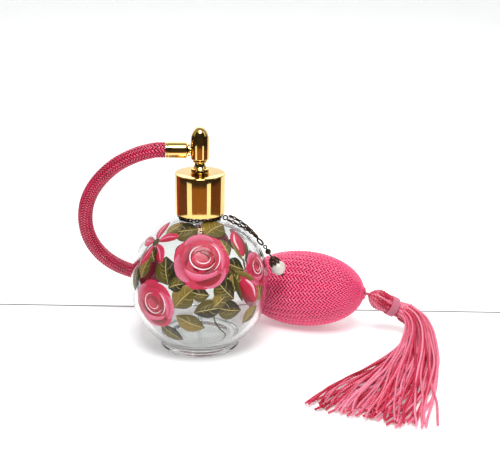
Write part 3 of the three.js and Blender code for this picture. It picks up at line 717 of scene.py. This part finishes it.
def rose(round_, up, size, lean=0):
    centre = (round_, up)
    blob(centre, size * 0.86, ROSE_RED, ROSE_PINK, 0)
    for k in range(7):
        start = lean + 360 / 7 * k + rng.uniform(-8, 8)
        pale = ROSE_PALE if k % 2 else ROSE_PINK
        stroke(centre, curl(size * 0.8, start, start + 82, 0.97), size * 0.2, ROSE_RED, pale, 1 + k % 2)
    for k in range(5):
        start = lean + 30 + 72 * k + rng.uniform(-9, 9)
        deep = ROSE_DEEP if k % 2 else ROSE_RED
        stroke(centre, curl(size * 0.57, start, start + 98, 0.95), size * 0.17, deep, ROSE_PINK, 3 + k % 2)
    heart = (0.04 * size, 0.1 * size)
    blob(centre, size * 0.4, ROSE_RED, ROSE_PINK, 5, heart, 0.9)
    stroke(centre, curl(size * 0.34, 10, 175, 0.85, heart), size * 0.1, ROSE_DEEP, ROSE_PINK, 6)
    stroke(centre, curl(size * 0.2, -30, 120, 0.8, heart), size * 0.08, ROSE_DEEP, ROSE_RED, 7)
    stroke(centre, curl(size * 0.43, 95, 335, 0.9, heart), size * 0.02, ROSE_WHITE, ROSE_WHITE, 8, 0.1)
    stroke(centre, curl(size * 0.24, 200, 380, 0.85, heart), size * 0.014, ROSE_WHITE, ROSE_WHITE, 8, 0.08)
    stroke(centre, curl(size * 0.3, 190, 330, 0.8, heart), size * 0.09, ROSE_PINK, ROSE_RED, 6)
    stroke(centre, curl(size * 0.55, -50, 60, 0.95, heart), size * 0.018, ROSE_WHITE, ROSE_WHITE, 8, 0.1)
    stroke(centre, curl(size * 0.66, 205, 330, 0.85), size * 0.13, ROSE_PALE, ROSE_PINK, 5)
    stroke(centre, curl(size * 0.78, 255, 325, 0.92), size * 0.13, ROSE_DEEP, ROSE_RED, 6)
    stroke(centre, curl(size * 0.72, -25, 60, 1.0), size * 0.1, ROSE_PALE, ROSE_PINK, 5)


def leaf(round_, up, length, width, turn, light=False):
    """A leaf along a direction in degrees from the right: a dark half, a lighter half and pale veins."""
    centre, at, half = (round_, up), turner(turn), length / 2
    low, high = (LEAF_OLIVE, LEAF_GOLD) if light else (LEAF_DARK, LEAF_OLIVE)
    dark = LEAF_OLIVE if light else LEAF_DARK
    stroke(centre, [at(-half, 0), at(0, 0.12 * width), at(half, 0)], width, high, low, 0, 0.1, 0.85)
    stroke(centre, [at(-half * 0.8, -0.2 * width), at(0, -0.5 * width), at(half * 0.85, -0.1)],
           width * 0.36, low, dark, 1, 0.1, 0.8)
    stroke(centre, [at(-half * 0.95, 0), at(0, 0.08 * width), at(half * 0.92, 0)],
           0.16, LEAF_CREAM, LEAF_CREAM, 2, 0.06)
    for x, y, pale in LEAF_VEINS:
        reach = y * width
        vein = [at(x * half, 0), at((x + 0.2) * half, reach * 0.6), at((x + 0.5) * half, reach * 0.95)]
        color = LEAF_CREAM if pale else LEAF_GOLD
        stroke(centre, vein, 0.13 if pale else 0.3, color, high, 2 + pale, 0.05)


def bud(round_, up, size, turn):
    centre, at = (round_, up), turner(turn, size)
    stroke(centre, [at(-1, 0), at(0, 0.08), at(1.05, 0)], size * 0.62, ROSE_PINK, ROSE_RED, 1, 0.16, 0.7)
    stroke(centre, [at(-0.8, -0.15), at(0, -0.36), at(0.9, -0.1)], size * 0.22, ROSE_RED, ROSE_DEEP, 2)
    stroke(centre, [at(-0.6, 0.22), at(0.1, 0.34), at(0.75, 0.12)], size * 0.1, ROSE_WHITE, ROSE_PALE, 3)
    stroke(centre, [at(-1.35, 0.1), at(-0.7, 0.42), at(0.1, 0.7)], size * 0.16, LEAF_GOLD, LEAF_OLIVE, 3)
    sepal = [at(-1.35, -0.1), at(-0.7, -0.45), at(0.15, -0.72)]
    stroke(centre, sepal, size * 0.16, LEAF_OLIVE, LEAF_DARK, 3)
    stroke(centre, [at(-2.0, 0), at(-1.6, 0.05), at(-1.1, 0)], size * 0.09, LEAF_OLIVE, STEM_DARK, 2)


def blossom(round_, up, size, turn):
    """An open flower of long petals."""
    centre = (round_, up)
    for k in range(5):
        at = turner(turn + 72 * k, size)
        petal = [at(0.1, 0), at(0.5, 0.06), at(1, 0)]
        stroke(centre, petal, size * 0.2, ROSE_PINK, ROSE_RED, k % 2, 0.14, 0.7)
        stroke(centre, [at(0.15, 0), at(0.5, 0.06), at(0.85, 0)], size * 0.035, ROSE_PALE, ROSE_PALE, 3)
    blob(centre, size * 0.16, LEAF_OLIVE, STEM_DARK, 3)


def twig(round_, up, points, width=0.3):
    stroke((round_, up), points, width, LEAF_OLIVE, STEM_DARK, 1, 0.1, 0.3)


def paint_globe():
    rose(-88, 37, 13.2, 10)
    rose(-131, -2, 11.4, 60)
    blossom(-150, 45, 12.5, 40)
    bud(-38, 46, 6.2, 70)
    bud(-47, 10, 7.6, -55)
    rose(-30, 22, 7.5, 20)
    for spec in (
        (-116, 63, 11, 5.6, 200), (-62, 64, 12, 5.8, 20, True), (-121, 27, 12, 5.4, 110),
        (-103, 8, 12, 5.0, 45, True), (-83, -1, 13, 4.2, 8), (-98, -12, 13.5, 4.4, 155, True),
        (-116, -25, 12, 4.0, 140), (-66, -2, 12, 4.4, 165), (-69, 14, 11.5, 5.0, 130),
        (-147, 24, 10, 4.0, 80, True), (-158, 12, 10.5, 4.0, 100), (-44, -12, 10, 3.6, 40, True),
        (-56, 30, 9.5, 4.2, 150), (-60, 46, 8, 3.4, 100, True), (-137, 62, 9, 3.6, 60, True),
        (-58, 18, 9, 3.6, 60, True), (-110, 17, 7.5, 3.2, 20), (-144, 36, 8, 3.4, 140),
        (-33, 5, 9, 3.6, 100, True), (-90, 12, 8, 3.0, 170), (-74, 5, 8, 3.2, 40, True),
    ):
        leaf(*spec)
    twig(-74, -16, [(-2.6, 8.2), (-2.2, 3.0), (0.4, -1.6), (3.6, -5.8), (3.2, -9.0)], 0.32)
    twig(-44, 28, [(-1, -7), (1, 0), (3, 6)], 0.26)
    rose(82, 26, 11.5, 30)
    rose(24, 4, 10.5, 80)
    rose(150, 6, 10.5, 120)
    bud(118, 44, 5.0, 60)
    blossom(40, 45, 8.5, 20)
    for spec in (
        (54, 20, 8.5, 3.4, 30), (108, 12, 9.0, 3.4, 140, True), (84, -4, 9.0, 3.0, 20),
        (60, -8, 8.0, 3.0, 160, True), (120, -14, 9.0, 3.2, 30), (166, 28, 8.0, 3.2, 120, True),
        (4, 24, 8.0, 3.0, 60), (0, -12, 8.0, 3.0, 20, True),
        (175, -6, 8.0, 3.0, 90), (100, 55, 8.0, 3.2, 170),
    ):
        leaf(*spec)
    twig(92, -18, [(-2, 7), (-1.4, 2), (1.2, -3), (2.6, -8)], 0.3)
    piece("painted_flowers", paint, "flower_paint", "bottle", sharp=None)


paint_globe()

# === Gold fittings


def make_gold():
    top, low, r = COLLAR_TOP, COLLAR_LOW, COLLAR_R
    wall = 0.6
    shell = rounded([
        (r - wall, low, 0.1), (r, low, 0.28), (r, top, 0.75), (3.35, top, 0.1), (3.35, top - 0.8, 0.1),
        (r - wall, top - 0.8, 0.3), (r - wall, low + 1, 0.1),
    ])
    lathe("collar_cap", shell + [shell[0]], "polished_gold", "collar", ("collar_shell",), sides=128)
    shank_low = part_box("swivel_shank")[0].z / MM
    flange = top + 0.3
    shank = rounded([
        (0.7, shank_low), (3, shank_low, 0.35), (3, flange - 2.9, 0.05), (2.4, flange - 2.9, 0.05),
        (2.4, flange - 1.7, 0.05), (3, flange - 1.7, 0.05), (3, flange, 0.1), (4.05, flange, 0.35),
        (4.05, flange + 1.7, 0.45), (3.3, flange + 1.75, 0.15), (2.45, flange + 2.9, 0.5),
        (2.35, flange + 4.35, 0.2), (3.15, flange + 4.6, 0.25), (3.15, flange + 5.25, 0.25),
        (1.5, flange + 5.4, 0.1), (1.5, flange + 8.3, 0.2), (0.7, flange + 8.4, 0.1), (0.7, shank_low),
    ])
    lathe("head_stem", shank, "polished_gold", "head", ("swivel_shank",))
    head = flange + 5.7
    barrel = head + 8
    bullet = rounded([(0, head), (4.05, head, 0.5), (4.05, barrel - 1.0, 0)])
    bullet += arc(4.05, 6.2, barrel, 0, 90, 28)
    lathe("bullet_head", bullet, "polished_gold", "head", ("atomizer_head",), sharp=50)
    arm = rounded([
        (0.6, 1.55), (1.3, 1.55, 0.1), (1.3, 4.3, 0.1), (2.75, 4.32, 0.25), (2.75, 5.15, 0.25),
        (1.6, 5.2, 0.3),
        (1.6, 7.75, 0.2), (1.2, 7.9, 0.1), (1.2, 16.7, 0.1), (0.6, 16.75, 0.1), (0.6, 1.55),
    ])
    at_arm = (0, 0, ARM_Z)
    lathe("side_arm", arm, "polished_gold", "head", ("air_arm",), at_arm, (-1, 0, 0))
    ferrule("hose_cap", 5.45, 9.2, 1.9, ("hose_ferrule",), at_arm, (-1, 0, 0))
    ferrule("bulb_cap", 30.7, 6.4, 1.5, ("bulb_ferrule",), tuple(BULB_AT), tuple(-BULB_AXIS))
    nozzle = rounded([
        (0.3, 2.25), (1.2, 2.25, 0.1), (1.2, 3.8, 0.2), (0.65, 3.82, 0.1), (0.3, 3.5, 0.1), (0.3, 2.25),
    ])
    lathe("spray_nozzle", nozzle, "polished_gold", "head", ("nozzle_insert",), at_arm, (1, 0, 0), 48)


def ferrule(name, start, length, hole, replaces, origin, axis):
    end = start + length
    profile = rounded([
        (hole, start), (3.5, start, 1.0), (3.5, end - 1.15, 0.1), (3.38, end - 1.0, 0.1),
        (3.38, end - 0.85, 0.1), (3.5, end - 0.7, 0.1), (3.5, end, 0.25), (2.75, end, 0.25),
        (2.75, start + 1, 0.4), (hole, start + 1, 0.1),
        (hole, start),
    ])
    lathe(name, profile, "polished_gold", "head", replaces, origin, axis)


make_gold()

# === Tassel

STRAND_R = 0.56


def strand(shape, line, radius, pitch, hue, start=0.0, sides=6):
    """A two-ply cord: a section of two lobes that turns along the line."""
    run = run_along(line)
    first, second = carried_frame(line)
    around = np.arange(sides) * TAU / sides
    reach = radius * (0.84 + 0.26 * np.cos(2 * around))
    turn = around[None] + (TAU * run / pitch + start)[:, None]
    out = np.cos(turn)[..., None] * first[:, None] + np.sin(turn)[..., None] * second[:, None]
    # Painted shade in the groove between the two plies and lighter outsides, plus a random tone for each
    # strand.
    groove_shade_and_tone = 0.08 + 0.52 * (reach / radius) + hue
    points = line[:, None] + reach[None, :, None] * out
    shape.grid(points, lift=groove_shade_and_tone[None], across=around[None], along=run[:, None])


SKIRT_SECTIONS = [
    (4.5, -0.6, 10.2, 5.2, 4.8), (8.4, -5.5, 8, 6.2, 5), (9, -14, 6, 7.4, 4.8), (6.6, -25, 4.6, 9.4, 4),
    (2, -38, 3.5, 12.6, 3.1), (-5, -52, 2.7, 17.2, 2.3), (-13.4, -66, 2.2, 23.4, 1.8),
    (-22.2, -80, 1.9, 27.4, 1.5), (-26.8, -89, 1.8, 28.8, 1.4),
]


def make_skirt():
    start = TASSEL_AT + TASSEL_AXIS * 15.4
    inside = start + TASSEL_AXIS * 1.2
    band_across, band_up = across_of(TASSEL_AXIS)
    rows = [(inside, 4.0, 4.0)]
    origin = TASSEL_AT + TASSEL_AXIS * 16.3
    rows += [(np.array((origin[0] + x, origin[1] + y, z)), w, h) for x, y, z, w, h in SKIRT_SECTIONS]
    table = np.array([[*at, w, h] for at, w, h in rows])
    fine = smooth_line(table, count=260)
    middle, wide, tall = fine[:, :3], fine[:, 3], fine[:, 4]
    ahead = unit(np.gradient(middle, axis=0))
    flat = unit(np.cross(ahead, (0, 0, 1.0)))
    t = np.linspace(0, 1, len(middle))
    ease = np.clip(t / 0.07, 0, 1)[:, None]
    across = unit(flat * ease + band_across * (1 - ease))
    up = unit(np.array((0, 0, 1.0)) * ease + band_up * (1 - ease))
    count = 104
    halves = [Shape(), Shape()]
    for i in range(count):
        r = math.sqrt((i + 0.5) / count)
        a = i * 2.39996 + 0.3
        spin = a + math.radians(88) * t ** 0.8
        x, y = r * np.cos(spin), r * np.sin(spin)
        x = x * (1 - 0.04 * t) + 0.1 * t * math.cos(a * 3.1)
        sway = 2.2 * t * np.sin(TAU * (t * rng.uniform(0.8, 1.8) + rng.random()))
        rise = 0.3 * t * np.sin(TAU * (t * rng.uniform(1.5, 3) + rng.random()))
        line = (
            middle
            + across * ((wide - STRAND_R) * x * 0.97 + sway)[:, None]
            + up * ((tall - STRAND_R) * y * 0.95 + rise)[:, None]
        )
        keep = rng.uniform(0.93, 1.0)
        line = line[: int(len(line) * keep)]
        line[:, 2] = np.maximum(line[:, 2], STRAND_R + 0.05)
        line = smooth_line(line[::6], spacing=0.36)
        hue = rng.uniform(-0.26, 0.24)
        radius, pitch = STRAND_R * rng.uniform(0.96, 1.12), rng.uniform(2.6, 3.1)
        strand(halves[i % 2], line, radius, pitch, hue, rng.random() * TAU)
    piece("skirt_strands_a", halves[0], "pink_satin_cord", "tassel", ("tassel_skirt",), sharp=None)
    piece("skirt_strands_b", halves[1], "pink_satin_cord", "tassel", sharp=None)


def make_tassel_head():
    shape = Shape()
    first, second = across_of(TASSEL_AXIS)
    for wide, number, off in ((4.15, 21, 0.0), (3.5, 16, 0.5)):
        for i in range(number):
            a = TAU * (i + off) / number + rng.uniform(-0.03, 0.03)
            rows = [
                (0.8, 2.15), (1.9, 3.0), (3.2, 4.4), (wide, 6.4),
                (wide * 0.97, 8.6), (3.85, 10.6), (3.4, 12.4), (3.3, 14),
            ]
            twist = 0.06 * np.arange(len(rows))
            line = [
                TASSEL_AT + TASSEL_AXIS * h + r * (math.cos(a + w) * first + math.sin(a + w) * second)
                for (r, h), w in zip(rows, twist)
            ]
            hue, start = rng.uniform(-0.25, 0.2), rng.random() * TAU
            strand(shape, smooth_line(line, spacing=0.3), 0.6, 3.0, hue, start)
    piece("tassel_head_strands", shape, "pink_satin_cord", "tassel", ("tassel_head",), sharp=None)
    profile = [(0.4, 2.2), (2.0, 3.2), (3.1, 5), (3.4, 8), (3.0, 11), (2.9, 15.6), (1.0, 15.8)]
    points = turned(smooth_line(profile, spacing=0.5), TASSEL_AT, TASSEL_AXIS, 32)
    # A filler under the strands in the deepest colour, painted shade for the gaps between them.
    filler = Shape().grid(points, lift=0.05, across=0.0, along=0.0)
    piece("tassel_core", filler, "pink_satin_cord", "tassel")


def make_band():
    """The thread wound round the neck of the tassel, with its cord's own fine twist."""
    turns, step = 7, 0.54
    first, second = across_of(TASSEL_AXIS)
    t = np.linspace(0, 1, turns * 56)
    a = t * turns * TAU
    height = 12.1 + step * turns * t
    radius = 4.28 + 0.14 * np.sin(math.pi * t) ** 0.5
    line = (
        TASSEL_AT + height[:, None] * TASSEL_AXIS
        + radius[:, None] * (np.cos(a)[:, None] * first + np.sin(a)[:, None] * second)
    )
    shape = Shape()
    strand(shape, line, 0.3, 1.5, 0.4, sides=8)
    profile = [(3.2, 12.1), (4.15, 12.2), (4.25, 14), (4.15, 15.8), (3.2, 15.9)]
    sleeve = turned(profile, TASSEL_AT, TASSEL_AXIS, 48)
    # The sleeve under the wound thread takes a deep colour, painted shade between its turns.
    shape.grid(sleeve, lift=0.2, across=0.0, along=0.0)
    piece("tassel_wrap", shape, "pink_satin_cord", "tassel", ("tassel_band",))


def make_tie():
    shape = Shape()
    first, second = across_of(TASSEL_AXIS)
    for k in range(3):
        a = TAU * k / 3
        rows = [
            TASSEL_AT + TASSEL_AXIS * h
            + 0.42 * (math.cos(a + h * 1.6) * first + math.sin(a + h * 1.6) * second)
            for h in np.linspace(0.05, 2.3, 9)
        ]
        strand(shape, smooth_line(rows, spacing=0.12), 0.4, 1.4, 0.0)
    piece("tie_cord", shape, "pink_satin_cord", "tassel", ("tassel_tie",), sharp=None)


make_skirt()
make_tassel_head()
make_band()
make_tie()

# === Chain and charm


TAIL_STAND = 1.45


def over_globe(up, round_, off):
    a = math.radians(up)
    r = (GLOBE_R + off) * math.cos(a)
    z = GLOBE_Z + (SHOULDER_RISE + off) * math.sin(a)
    return np.array((r * math.cos(math.radians(round_)), r * math.sin(math.radians(round_)), z))


def link(shape, at, ahead, normal, length, width, wire):
    """One oval link of round wire, lying along ahead and facing normal."""
    ahead = unit(ahead)
    side = unit(np.cross(normal, ahead))
    face = np.cross(ahead, side)
    a = np.arange(14) * TAU / 14
    long, wide = length / 2 - wire, width / 2 - wire
    middle = at + long * np.cos(a)[:, None] * ahead + wide * np.sin(a)[:, None] * side
    out = unit(np.cos(a)[:, None] * ahead * wide + np.sin(a)[:, None] * side * long)
    b = np.arange(7) * TAU / 7
    points = middle[:, None] + wire * (
        np.cos(b)[None, :, None] * out[:, None] + np.sin(b)[None, :, None] * face
    )
    shape.grid(points, caps=False, wrap=True)


def chain(shape, line, outwards, pitch=1.6, wire=0.31):
    """Links set end to end along a line, turned one way and the other by turns."""
    spots = smooth_line(line, spacing=pitch)
    ahead = unit(np.gradient(spots, axis=0))
    for i, (at, direction) in enumerate(zip(spots, ahead)):
        normal = outwards(at)
        side = np.cross(direction, normal)
        tip = unit(normal + side * (0.9 if i % 2 else -0.9))
        link(shape, at, direction, tip, pitch * 1.6, 1.75, wire)


def off_globe(at):
    return unit(np.array((at[0], at[1], at[2] - GLOBE_Z)))


def make_chain():
    ring_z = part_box("neck_chain")
    height = (ring_z[0].z + ring_z[1].z) / 2 / MM
    loop = [(9.35 * math.cos(a), 9.35 * math.sin(a), height) for a in np.linspace(0, TAU, 45)]
    neck = Shape()
    chain(neck, loop, off_globe)
    piece("neck_links", neck, "antique_bronze", "necklace", ("neck_chain",))
    starts = (5, -20)
    for k, start in enumerate(starts):
        end = 5 - 3 * k
        line = [
            over_globe(64.6 - 25.6 * t, start + (end - start) * t, TAIL_STAND) for t in np.linspace(0, 1, 8)
        ]
        tail = Shape()
        chain(tail, line, off_globe)
        piece(f"tail_links_{k + 1}", tail, "antique_bronze", "necklace", (f"chain_tail_{k + 1}",))
    for name, node, wire in (("joining_link", "joining_ring", 0.3), ("long_link", "clasp_link", 0.42)):
        low, high = (np.array(c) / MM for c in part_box(node))
        shape = Shape()
        if node == "joining_ring":
            link(shape, (low + high) / 2, np.array((1.0, 0, 0)), np.array((0, -1.0, 0)), 2.6, 2.6, wire)
        else:
            tail_end, pivot = over_globe(39, 5, 0.85), over_globe(28, 5, 2.2)
            facing = off_globe(pivot) + np.array((0, -1.2, 0))
            link(shape, (tail_end + pivot) / 2, pivot - tail_end, facing, 4.4, 2.6, wire)
        piece(name, shape, "antique_bronze", "necklace", (node,))


CHARM_AT = over_globe(28, 5, 2.2)
CHARM_DOWN = np.array((math.sin(math.radians(31)), 0, -math.cos(math.radians(31))))


def make_charm():
    down = tuple(CHARM_DOWN)
    at = tuple(CHARM_AT)
    side = across_of(CHARM_DOWN)[0]
    pin = Shape()
    profile = rounded([
        (0.02, 0.9), (0.32, 0.9, 0.1), (0.32, 15.2, 0.1),
        (0.85, 15.3, 0.2), (0.85, 15.8, 0.2), (0.02, 15.9),
    ])
    pin.grid(turned(profile, at, down, 24))
    link(pin, CHARM_AT + CHARM_DOWN * 0.1, CHARM_DOWN, side, 2.2, 1.9, 0.3)
    piece("charm_wire", pin, "antique_bronze", "charm", ("charm_pin",))
    bead = arc(1.3, 1.3, 2.7, -60, 60, 20)
    bead = [(r - 0.1 * max(0.0, math.cos((h - 2.7) * 7.5)) ** 6, h) for r, h in bead]
    ring = [(0.66, bead[0][1])] + bead + [(0.66, bead[-1][1])]
    lathe("round_bead", ring + [ring[0]], "antique_bronze", "charm", ("bronze_bead",), at, down, 48)
    make_cap(at, down)
    pearl = arc(3.3, 3.3, 11.7, -79, 79, 44)
    ring = [(0.65, pearl[0][1])] + pearl + [(0.65, pearl[-1][1])]
    lathe("round_pearl", ring + [ring[0]], "pearl_white", "charm", ("pearl",), at, down, 80)


def make_cap(at, down):
    """A filigree bead cap: a collar, eight looped petals of wire and a grain on each tip."""
    axis, petals = np.array(down), 8
    first, second = across_of(down)
    shape = Shape()
    collar = rounded([
        (0.7, 5.85), (1.2, 5.8, 0.2), (1.5, 6.3, 0.2), (1.35, 6.7, 0.1), (0.75, 6.75, 0.1), (0.7, 5.85),
    ])
    shape.grid(turned(collar[:-1], at, down, 32), caps=False, wrap=True)
    for k in range(petals):
        a = TAU * k / petals
        out = math.cos(a) * first + math.sin(a) * second
        round_ = np.cross(axis, out)
        start = np.array(at) + axis * 6.5 + out * 1.25
        end = np.array(at) + axis * 9.1 + out * 2.45
        ahead = unit(end - start)
        face = np.cross(ahead, round_)
        middle = (start + end) / 2 + 0.22 * face * np.sign(np.dot(face, out))
        link(shape, middle, ahead, face, 2.9, 1.6, 0.2)
        link(shape, middle + ahead * 0.25, ahead, face, 1.5, 0.85, 0.14)
        ball = [(0.001, -0.33), (0.23, -0.23), (0.33, 0), (0.23, 0.23), (0.001, 0.33)]
        shape.grid(turned(ball, end + ahead * 0.1, (0, 0, 1), 10))
        b = a + math.pi / petals
        low = np.array(at) + axis * 8.0 + (math.cos(b) * first + math.sin(b) * second) * 1.9
        shape.grid(turned(ball, low, (0, 0, 1), 10))
    piece("filigree_cap", shape, "antique_bronze", "charm", ("bead_cap",), sharp=55)


make_chain()
make_charm()

# === Pieces kept from the frame

KEPT = {
    "neck_gasket": RUBBER, "siphon_fitment": PLASTIC, "dip_tube": CLEAR_PLASTIC, "collar_insert": PLASTIC,
    "retaining_clip": STEEL, "outlet_valve_body": STEEL, "outlet_valve_ball": STEEL,
    "inlet_valve_body": STEEL, "inlet_valve_ball": STEEL,
}
for node, material in KEPT.items():
    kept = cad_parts[node]
    for slot in kept.material_slots:
        slot.material = material

# === Floor, cards and lights


def stage_piece(name, corners, material, faces=((0, 1, 2, 3),)):
    mesh = bpy.data.meshes.new(name)
    mesh.from_pydata(corners, [], list(faces))
    mesh.materials.append(material)
    made = bpy.data.objects.new(name, mesh)
    bpy.context.scene.collection.objects.link(made)
    return made


def floor_look():
    look = Look("pale_floor", Roughness=0.55)
    look.shader.inputs["Emission Color"].default_value = (1.0, 1.0, 1.0, 1)
    look.shader.inputs["Emission Strength"].default_value = 0.3
    look.shader.inputs["Specular IOR Level"].default_value = 0.25
    pale = (0.3, (0.86, 0.87, 0.88)), (0.7, (0.9, 0.905, 0.915))
    look.into("Base Color", look.ramp(look.noise(18.0, 5.0), *pale))
    return look.material


def make_floor():
    look = floor_look()
    near, edge, lean, far, wide, step = -1.5, 0.0408, 0.13, 1.8, 2.5, 0.0012
    left, right = edge + lean, edge - lean
    stage_piece("board", [(-wide, near, 0), (wide, near, 0), (wide, right, 0), (-wide, left, 0),
                          (-wide, left, -step), (wide, right, -step)], look, ((0, 1, 2, 3), (3, 2, 5, 4)))
    table = [(-wide, left, -step), (wide, right, -step), (wide, far, -step), (-wide, far, -step)]
    stage_piece("table", table, look)
    # A dark strip along the board's edge, a painted shadow of the gap at the step.
    painted_edge_shadow = Look("painted_edge_shadow", Roughness=0.7)
    painted_edge_shadow.into("Base Color", painted_edge_shadow.ramp(painted_edge_shadow.noise(60.0), (0.3, grey(0.12)), (0.7, grey(0.22))))
    stage_piece("painted_edge_shadow", [(-wide, left, 0.0001), (wide, right, 0.0001), (wide, right + 0.0014, 0.0001),
                         (-wide, left + 0.0014, 0.0001)], painted_edge_shadow.material)
    wall = Look("pale_wall", Roughness=0.7)
    wall.shader.inputs["Emission Strength"].default_value = 0.5
    wall.shader.inputs["Emission Color"].default_value = (1.0, 1.0, 1.0, 1)
    wall.into("Base Color", wall.ramp(wall.noise(3.0), (0.3, grey(0.88)), (0.7, grey(0.92))))
    stage_piece("backdrop", [(-wide, far, -step), (wide, far, -step), (wide, far, 2.2), (-wide, far, 2.2)],
                wall.material)


def make_card(name, start, end, low, high, color, radius=0.15):
    """A dark curved card round the set that only shows in reflections."""
    look = Look(name, Roughness=0.6)
    place = look.node("ShaderNodeSeparateXYZ")
    look.link(look.node("ShaderNodeTexCoord").outputs["Object"], place.inputs["Vector"])
    height = look.maths("ADD", place.outputs["Z"], look.maths("MULTIPLY", look.noise(14.0), 0.003))
    dark = tuple(c * 0.08 for c in color)
    look.into("Base Color", look.ramp(height, (0.0, color), (0.0485, color), (0.0515, dark)))
    angles = np.radians(np.linspace(start, end, 17))
    corners = [(radius * math.cos(a), radius * math.sin(a), z) for a in angles for z in (low, high)]
    faces = [(2 * i, 2 * i + 2, 2 * i + 3, 2 * i + 1) for i in range(len(angles) - 1)]
    card = stage_piece(name, corners, look.material, faces)
    card.visible_camera = False
    card.visible_diffuse = False
    card.visible_shadow = False


def make_lights():
    world = bpy.data.worlds.new("studio")
    world.use_nodes = True
    world.node_tree.nodes["Background"].inputs["Color"].default_value = (1.0, 1.0, 1.0, 1)
    world.node_tree.nodes["Background"].inputs["Strength"].default_value = 0.36
    bpy.context.scene.world = world
    for name, at, size, power, color in (
        ("key", (0.04, -0.42, 0.8), 0.38, 6.6, (1.0, 0.99, 0.97)),
        ("fill", (0.6, -0.3, 0.5), 0.5, 0.8, (0.96, 0.98, 1.0)),
        ("back", (0.1, 0.7, 0.6), 0.6, 1.2, (1.0, 1.0, 1.0)),
    ):
        data = bpy.data.lights.new(name, "AREA")
        data.shape = "SQUARE"
        data.size, data.energy, data.color = size, power, color
        lamp = bpy.data.objects.new(name, data)
        lamp.location = at
        aim = Vector((0.02, 0, 0.04)) - Vector(at)
        lamp.rotation_euler = aim.to_track_quat("-Z", "Y").to_euler()
        bpy.context.scene.collection.objects.link(lamp)


make_floor()
make_card("left_card", 144, 212, 0.002, 0.13, (0.12, 0.024, 0.001))
make_card("front_card", 234, 301, 0.002, 0.13, (0.29, 0.105, 0.007))
make_card("right_card", -42, 17, 0.002, 0.13, (0.15, 0.045, 0.003))
make_card("high_card", 197, 343, 0.0525, 0.26, (0.04, 0.014, 0.003), 0.155)
make_lights()
bpy.context.scene.view_settings.view_transform = "Standard"
